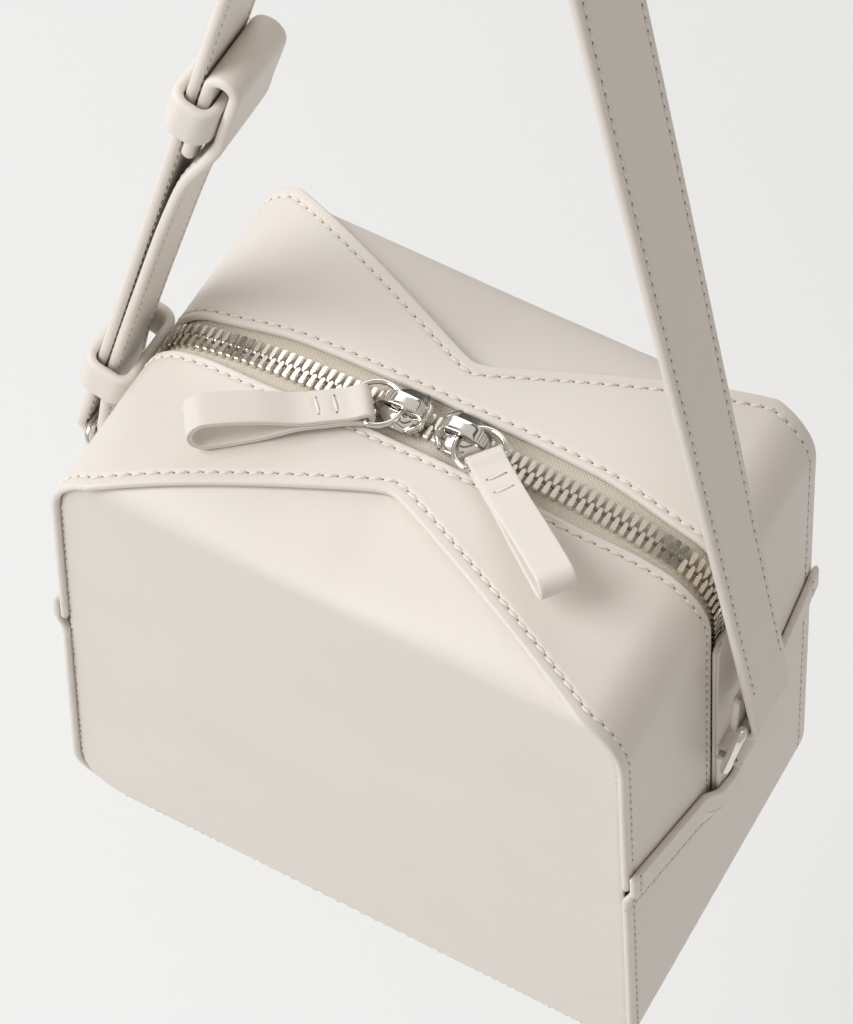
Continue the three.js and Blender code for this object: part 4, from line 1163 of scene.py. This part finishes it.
def strap_ring(side):
    direction, lean = SIDES[side], math.radians(RING_LEANS[side])
    flat = rounded_rectangle(RING_WIDTH, RING_HEIGHT, RING_BEND)
    rise = flat[:, 1] + RING_HEIGHT / 2
    x = direction * (lower_bar[0] + rise * math.cos(lean))
    path = np.stack([x, flat[:, 0], lower_bar[1] + rise * math.sin(lean)], 1)
    out = np.tile([direction * math.sin(lean), 0, -math.cos(lean)], (len(path), 1))
    across = np.cross(path_tangents(path, closed=True), out)
    points = wire_points(path, out, across, RING_WIRE / 2, 18)
    add_piece("ring_of_strap_" + side, points, strip_faces(points, True), bright_metal,
              "strap_ring_" + side)


strap_ring("right")
strap_ring("left")

# Ring tabs
# At each end a doubled leather strip covers the end of the zip, goes down under the hem's raised middle,
# and carries a loop that holds the ring. Its cut edges show two bonded layers.
TAB_RISE = 47            # top of the strip above the ends of the hem
TAB_ROUND = 3            # of the corners at its top


def upright_strip(flat, width, thickness, direction=1, closed=False, section=None, lift=None):
    """A strip along a path of X and Z points, with its outside on the right of the way it runs."""
    path = on_mid_plane(flat * (direction, 1))
    along = path_tangents(path, closed)
    out = direction * np.stack([along[:, 2], 0 * along[:, 0], -along[:, 0]], 1)
    across = np.tile([0.0, 1.0, 0.0], (len(path), 1))
    share, inset, depth = section
    a = (share - 0.5) * np.reshape(width, (-1, 1)) + inset
    fullness, drop = (1, 0) if lift is None else lift
    o = (thickness / 2 - depth) * fullness - np.clip(1 - 2 * depth / thickness, 0, 1) * drop
    return strip_points(path, out, across, a, o)


def ring_tab(side):
    direction = SIDES[side]
    top, low = HEM_HEIGHT + TAB_RISE, hem_height(0) - 0.375 * HEM_OVERLAP
    x, z = on_outline(run_at_height(np.linspace(low, top, 70)), wall + FIT + LEATHER / 2)
    section = wrapped_section(LEATHER, LEATHER / 4, 14, two_layers=True)
    from_top = np.clip((top - z) / TAB_ROUND, 0, 1)
    width = TAB_WIDTH - 2 * TAB_ROUND * (1 - np.sqrt(1 - (1 - from_top) ** 2))
    strip = upright_strip(np.stack([x, z], 1), width, LEATHER, direction, section=section)
    grip = RING_WIRE / 2 + FIT + LEATHER / 2
    root = tab_wall + LEATHER / 4
    bend = arc_points(lower_bar, grip, -90, 90)
    flat = np.concatenate([[(root, bend[0, 1])], bend, [(root, bend[-1, 1])]])
    loop = upright_strip(flat, np.full(len(flat), TAB_WIDTH), LEATHER, direction, section=section)
    faces = strip_faces(strip) + strip_faces(loop, first=strip.shape[0] * strip.shape[1])
    points = np.concatenate([strip.reshape(-1, 3), loop.reshape(-1, 3)])
    add_piece("tab_" + side, points, faces, pull_leather, "ring_tab_" + side)


ring_tab("right")
ring_tab("left")

# Strap
# One long padded strap of two plies sewn near both edges. It goes round the right ring's upper bar with
# its end tucked up behind, over the shoulder, round the left ring's bar and back up beside itself, and
# its end is rolled over and pushed down through the upper keeper.
STRAP_THICKNESS = 3.2
STRAP_END_WIDTH = 21
STRAP_TOP_WIDTH = 26
STRAP_RISE = 289         # top of the bag to the middle of the strap's top bend
STRAP_TOP_SHIFT = 7
STRAP_TOP_RADIUS = 20
STRAP_TUCK = 14
STRAP_LAYER_GAP = 0.5
STRAP_EDGE = 1.35        # radius of its folded edges
STRAP_ROW = 2.4          # stitches in from its edges
PLY_END = 146            # height where the outer ply is cut off above the right ring
PLY_STEP = 0.7
UPPER_KEEPER = HEM_HEIGHT + 195
LOWER_KEEPER = HEM_HEIGHT + 51
ROLL_WIDTH = 7.2
ROLL_RISE = 14           # middle of the roll above the middle of the upper keeper
TONGUE = 24              # end below the middle of the upper keeper
TONGUE_ROUND = 6         # of the two corners of the end
HIDDEN_STITCHES = 30     # of the run from the tucked end that is left unsewn on its inner face

wrap_radius = RING_WIRE / 2 + 1.5 * FIT + STRAP_THICKNESS / 2
doubled = STRAP_THICKNESS + STRAP_LAYER_GAP
bag_top = float(arch_height(0))
crown = np.array([STRAP_TOP_SHIFT, bag_top + STRAP_RISE])


def upper_bar(side):
    lean = math.radians(RING_LEANS[side])
    x, z = lower_bar + RING_HEIGHT * np.array([math.cos(lean), math.sin(lean)])
    return np.array([SIDES[side] * x, z])


def belt_angle(first, first_radius, second, second_radius):
    """Where a strap leaves one round bar for the next, in degrees, when it turns left round both."""
    reach = second - first
    opening = math.acos((first_radius - second_radius) / math.hypot(*reach))
    return math.degrees(math.atan2(reach[1], reach[0]) - opening)


right_bar, left_bar = upper_bar("right"), upper_bar("left")
right_angle = belt_angle(right_bar, wrap_radius, crown, STRAP_TOP_RADIUS)
left_angle = belt_angle(crown, STRAP_TOP_RADIUS, left_bar, wrap_radius) % 360


def around(centre, radius, degrees):
    angle = math.radians(degrees)
    return centre + radius * np.array([math.cos(angle), math.sin(angle)])


right_foot = around(right_bar, wrap_radius, right_angle)
right_up = unit(around(crown, STRAP_TOP_RADIUS, right_angle) - right_foot)
left_foot = around(left_bar, wrap_radius, left_angle)
left_top = around(crown, STRAP_TOP_RADIUS, left_angle)
left_up = unit(left_top - left_foot)
left_inward = np.array([left_up[1], -left_up[0]])


def beside_left_leg(height, distance):
    """A place at a height of the left leg, moved inwards from the middle of its outer layer."""
    share = (height - left_foot[1]) / (left_top[1] - left_foot[1])
    return left_foot + (left_top - left_foot) * share + left_inward * distance


def strap_path(spacing=1.3):
    """X and Z of the strap's middle from its hidden end at the right ring to its tongue."""
    right_in = np.array([-right_up[1], right_up[0]])
    tuck = right_foot + right_up * STRAP_TUCK + right_in * (doubled + STRAP_LAYER_GAP)
    bulge = doubled + ROLL_WIDTH

    def between(share, distance):
        return beside_left_leg(LOWER_KEEPER + (UPPER_KEEPER - LOWER_KEEPER) * share, distance)

    middle = beside_left_leg(UPPER_KEEPER + ROLL_RISE, doubled + ROLL_WIDTH / 2)
    turned = [middle + ROLL_WIDTH / 2 * (left_inward * math.cos(a) + left_up * math.sin(a))
              for a in np.radians(np.linspace(0, 180, 9))]
    wrap = arc_points(left_bar, wrap_radius, left_angle, 372)
    back = [wrap[-1], between(-0.06, doubled + STRAP_LAYER_GAP), between(0, doubled), between(0.35, doubled),
            between(0.65, doubled + 0.1 * ROLL_WIDTH), between(0.78, doubled + 0.3 * ROLL_WIDTH),
            between(0.86, doubled + 0.7 * ROLL_WIDTH), between(0.93, bulge), between(1, bulge)]
    back += turned + [beside_left_leg(UPPER_KEEPER, doubled), beside_left_leg(UPPER_KEEPER - TONGUE, doubled)]
    hidden_end = smooth_path([tuck, *arc_points(right_bar, wrap_radius, 190, 210)], 1)
    right_wrap = arc_points(right_bar, wrap_radius, 216, 360 + right_angle)
    over_top = arc_points(crown, STRAP_TOP_RADIUS, right_angle, left_angle)
    path = np.concatenate([hidden_end, right_wrap, over_top, wrap[:-1], smooth_path(back, 1)])
    run = np.concatenate([[0], np.cumsum(np.linalg.norm(np.diff(path, axis=0), axis=1))])
    cut = run[len(hidden_end) + len(right_wrap) - 1] + (PLY_END - right_foot[1]) / right_up[1]
    roll = run[-1] - 2 * TONGUE - math.pi * ROLL_WIDTH - ROLL_RISE
    at = np.linspace(0, run[-1], round(run[-1] / spacing) + 1)
    at = np.sort(np.concatenate([at, [cut - 0.12, cut + 0.12]]))
    return np.stack([np.interp(at, run, path[:, k]) for k in range(2)], 1), at, cut, roll


def strap_width(height):
    """Narrow at the rings and wide over the shoulder."""
    low = HEM_HEIGHT + 0.12 * STRAP_RISE
    share = smooth_step((height - low) / (bag_top + 0.75 * STRAP_RISE - low))
    return STRAP_END_WIDTH + (STRAP_TOP_WIDTH - STRAP_END_WIDTH) * share


def strap():
    path, run, cut, roll = strap_path()
    section = wrapped_section(STRAP_THICKNESS, STRAP_EDGE, 6, STRAP_ROW + 1.8, STRAP_ROW + 1.8)
    to_end = np.clip((run[-1] - run) / TONGUE_ROUND, 0, 1)
    width = strap_width(path[:, 1]) - 2 * TONGUE_ROUND * (1 - np.sqrt(1 - (1 - to_end) ** 2))
    nearest = np.clip(np.minimum(run, run[-1] - run), 0, 1.2) / 1.2
    fullness = (0.25 + 0.75 * np.sqrt(1 - (1 - nearest) ** 2))[:, None]
    share, inset, depth = section
    from_edge = (0.5 - np.abs(share - 0.5)) * width[:, None] + np.abs(inset)
    sewn = (run < roll)[:, None] & ((run > cut)[:, None] | (depth >= STRAP_THICKNESS / 2))
    sunk = groove(from_edge - STRAP_ROW) * sewn
    step = np.where(run < cut, PLY_STEP, 0)[:, None]
    points = upright_strip(path, width, STRAP_THICKNESS, section=section, lift=(fullness, step))
    face = np.where(depth < STRAP_THICKNESS / 2, 1, -1)
    along = unit(np.gradient(path, axis=0))
    out = np.stack([along[:, 1], 0 * run, -along[:, 0]], 1)
    points = points - out[:, None] * (sunk * face)[..., None]
    add_piece("shoulder_strap", points, strip_faces(points), smooth_leather, "strap")

    rows = []
    middle = on_mid_plane(path)
    reach = STRAP_THICKNESS / 2 - GROOVE_DEPTH
    for face, first in ((1, cut + 2), (-1, HIDDEN_STITCHES)):
        kept = (run > first) & (run < roll)
        for side in (-1, 1):
            across = side * (width[kept] / 2 - STRAP_ROW)
            line = middle[kept] + face * reach * out[kept] + across[:, None] * np.array([0, 1, 0])
            rows.append((line, face * out[kept]))
    sew("stitches_strap", rows)


strap()

# Keepers
# Two thick leather bands hold the strap's two layers together above the left ring. Their edges are
# turned and rounded all over. The lower one is loose, with a dark gap inside it.
KEEPER_HEIGHT = 15
KEEPER_LEATHER = 3.0
KEEPER_SIDE_ROOM = 1.2
KEEPER_BEND = 4.0
LOWER_KEEPER_ROOM = 3


def keeper(name, node, height, room):
    side = STRAP_THICKNESS / 2 + FIT + KEEPER_LEATHER / 2
    span = doubled + 2 * side + room
    wide = float(strap_width(height)) + 2 * (FIT + KEEPER_SIDE_ROOM) + KEEPER_LEATHER
    flat = rounded_rectangle(span, wide, KEEPER_BEND)
    centre = beside_left_leg(height, span / 2 - side)
    inward = np.array([left_inward[0], 0, left_inward[1]])
    up = np.array([left_up[0], 0, left_up[1]])
    start = np.array([centre[0], 0, centre[1]])
    path = start + flat[:, :1] * inward + flat[:, 1:] * np.array([0, 1, 0])
    out = np.cross(path_tangents(path, closed=True), up)
    out = out * np.sign(np.sum((path - start) * out))
    share, inset, depth = wrapped_section(KEEPER_LEATHER, 1.4, 12)
    across = np.tile(up, (len(path), 1))
    a = (share - 0.5) * KEEPER_HEIGHT + inset
    points = strip_points(path, out, across, a, KEEPER_LEATHER / 2 - depth)
    add_piece(name, points, strip_faces(points, True), smooth_leather, node)


keeper("strap_keeper_upper", "keeper_upper", UPPER_KEEPER, FIT)
keeper("strap_keeper_lower", "keeper_lower", LOWER_KEEPER, LOWER_KEEPER_ROOM)
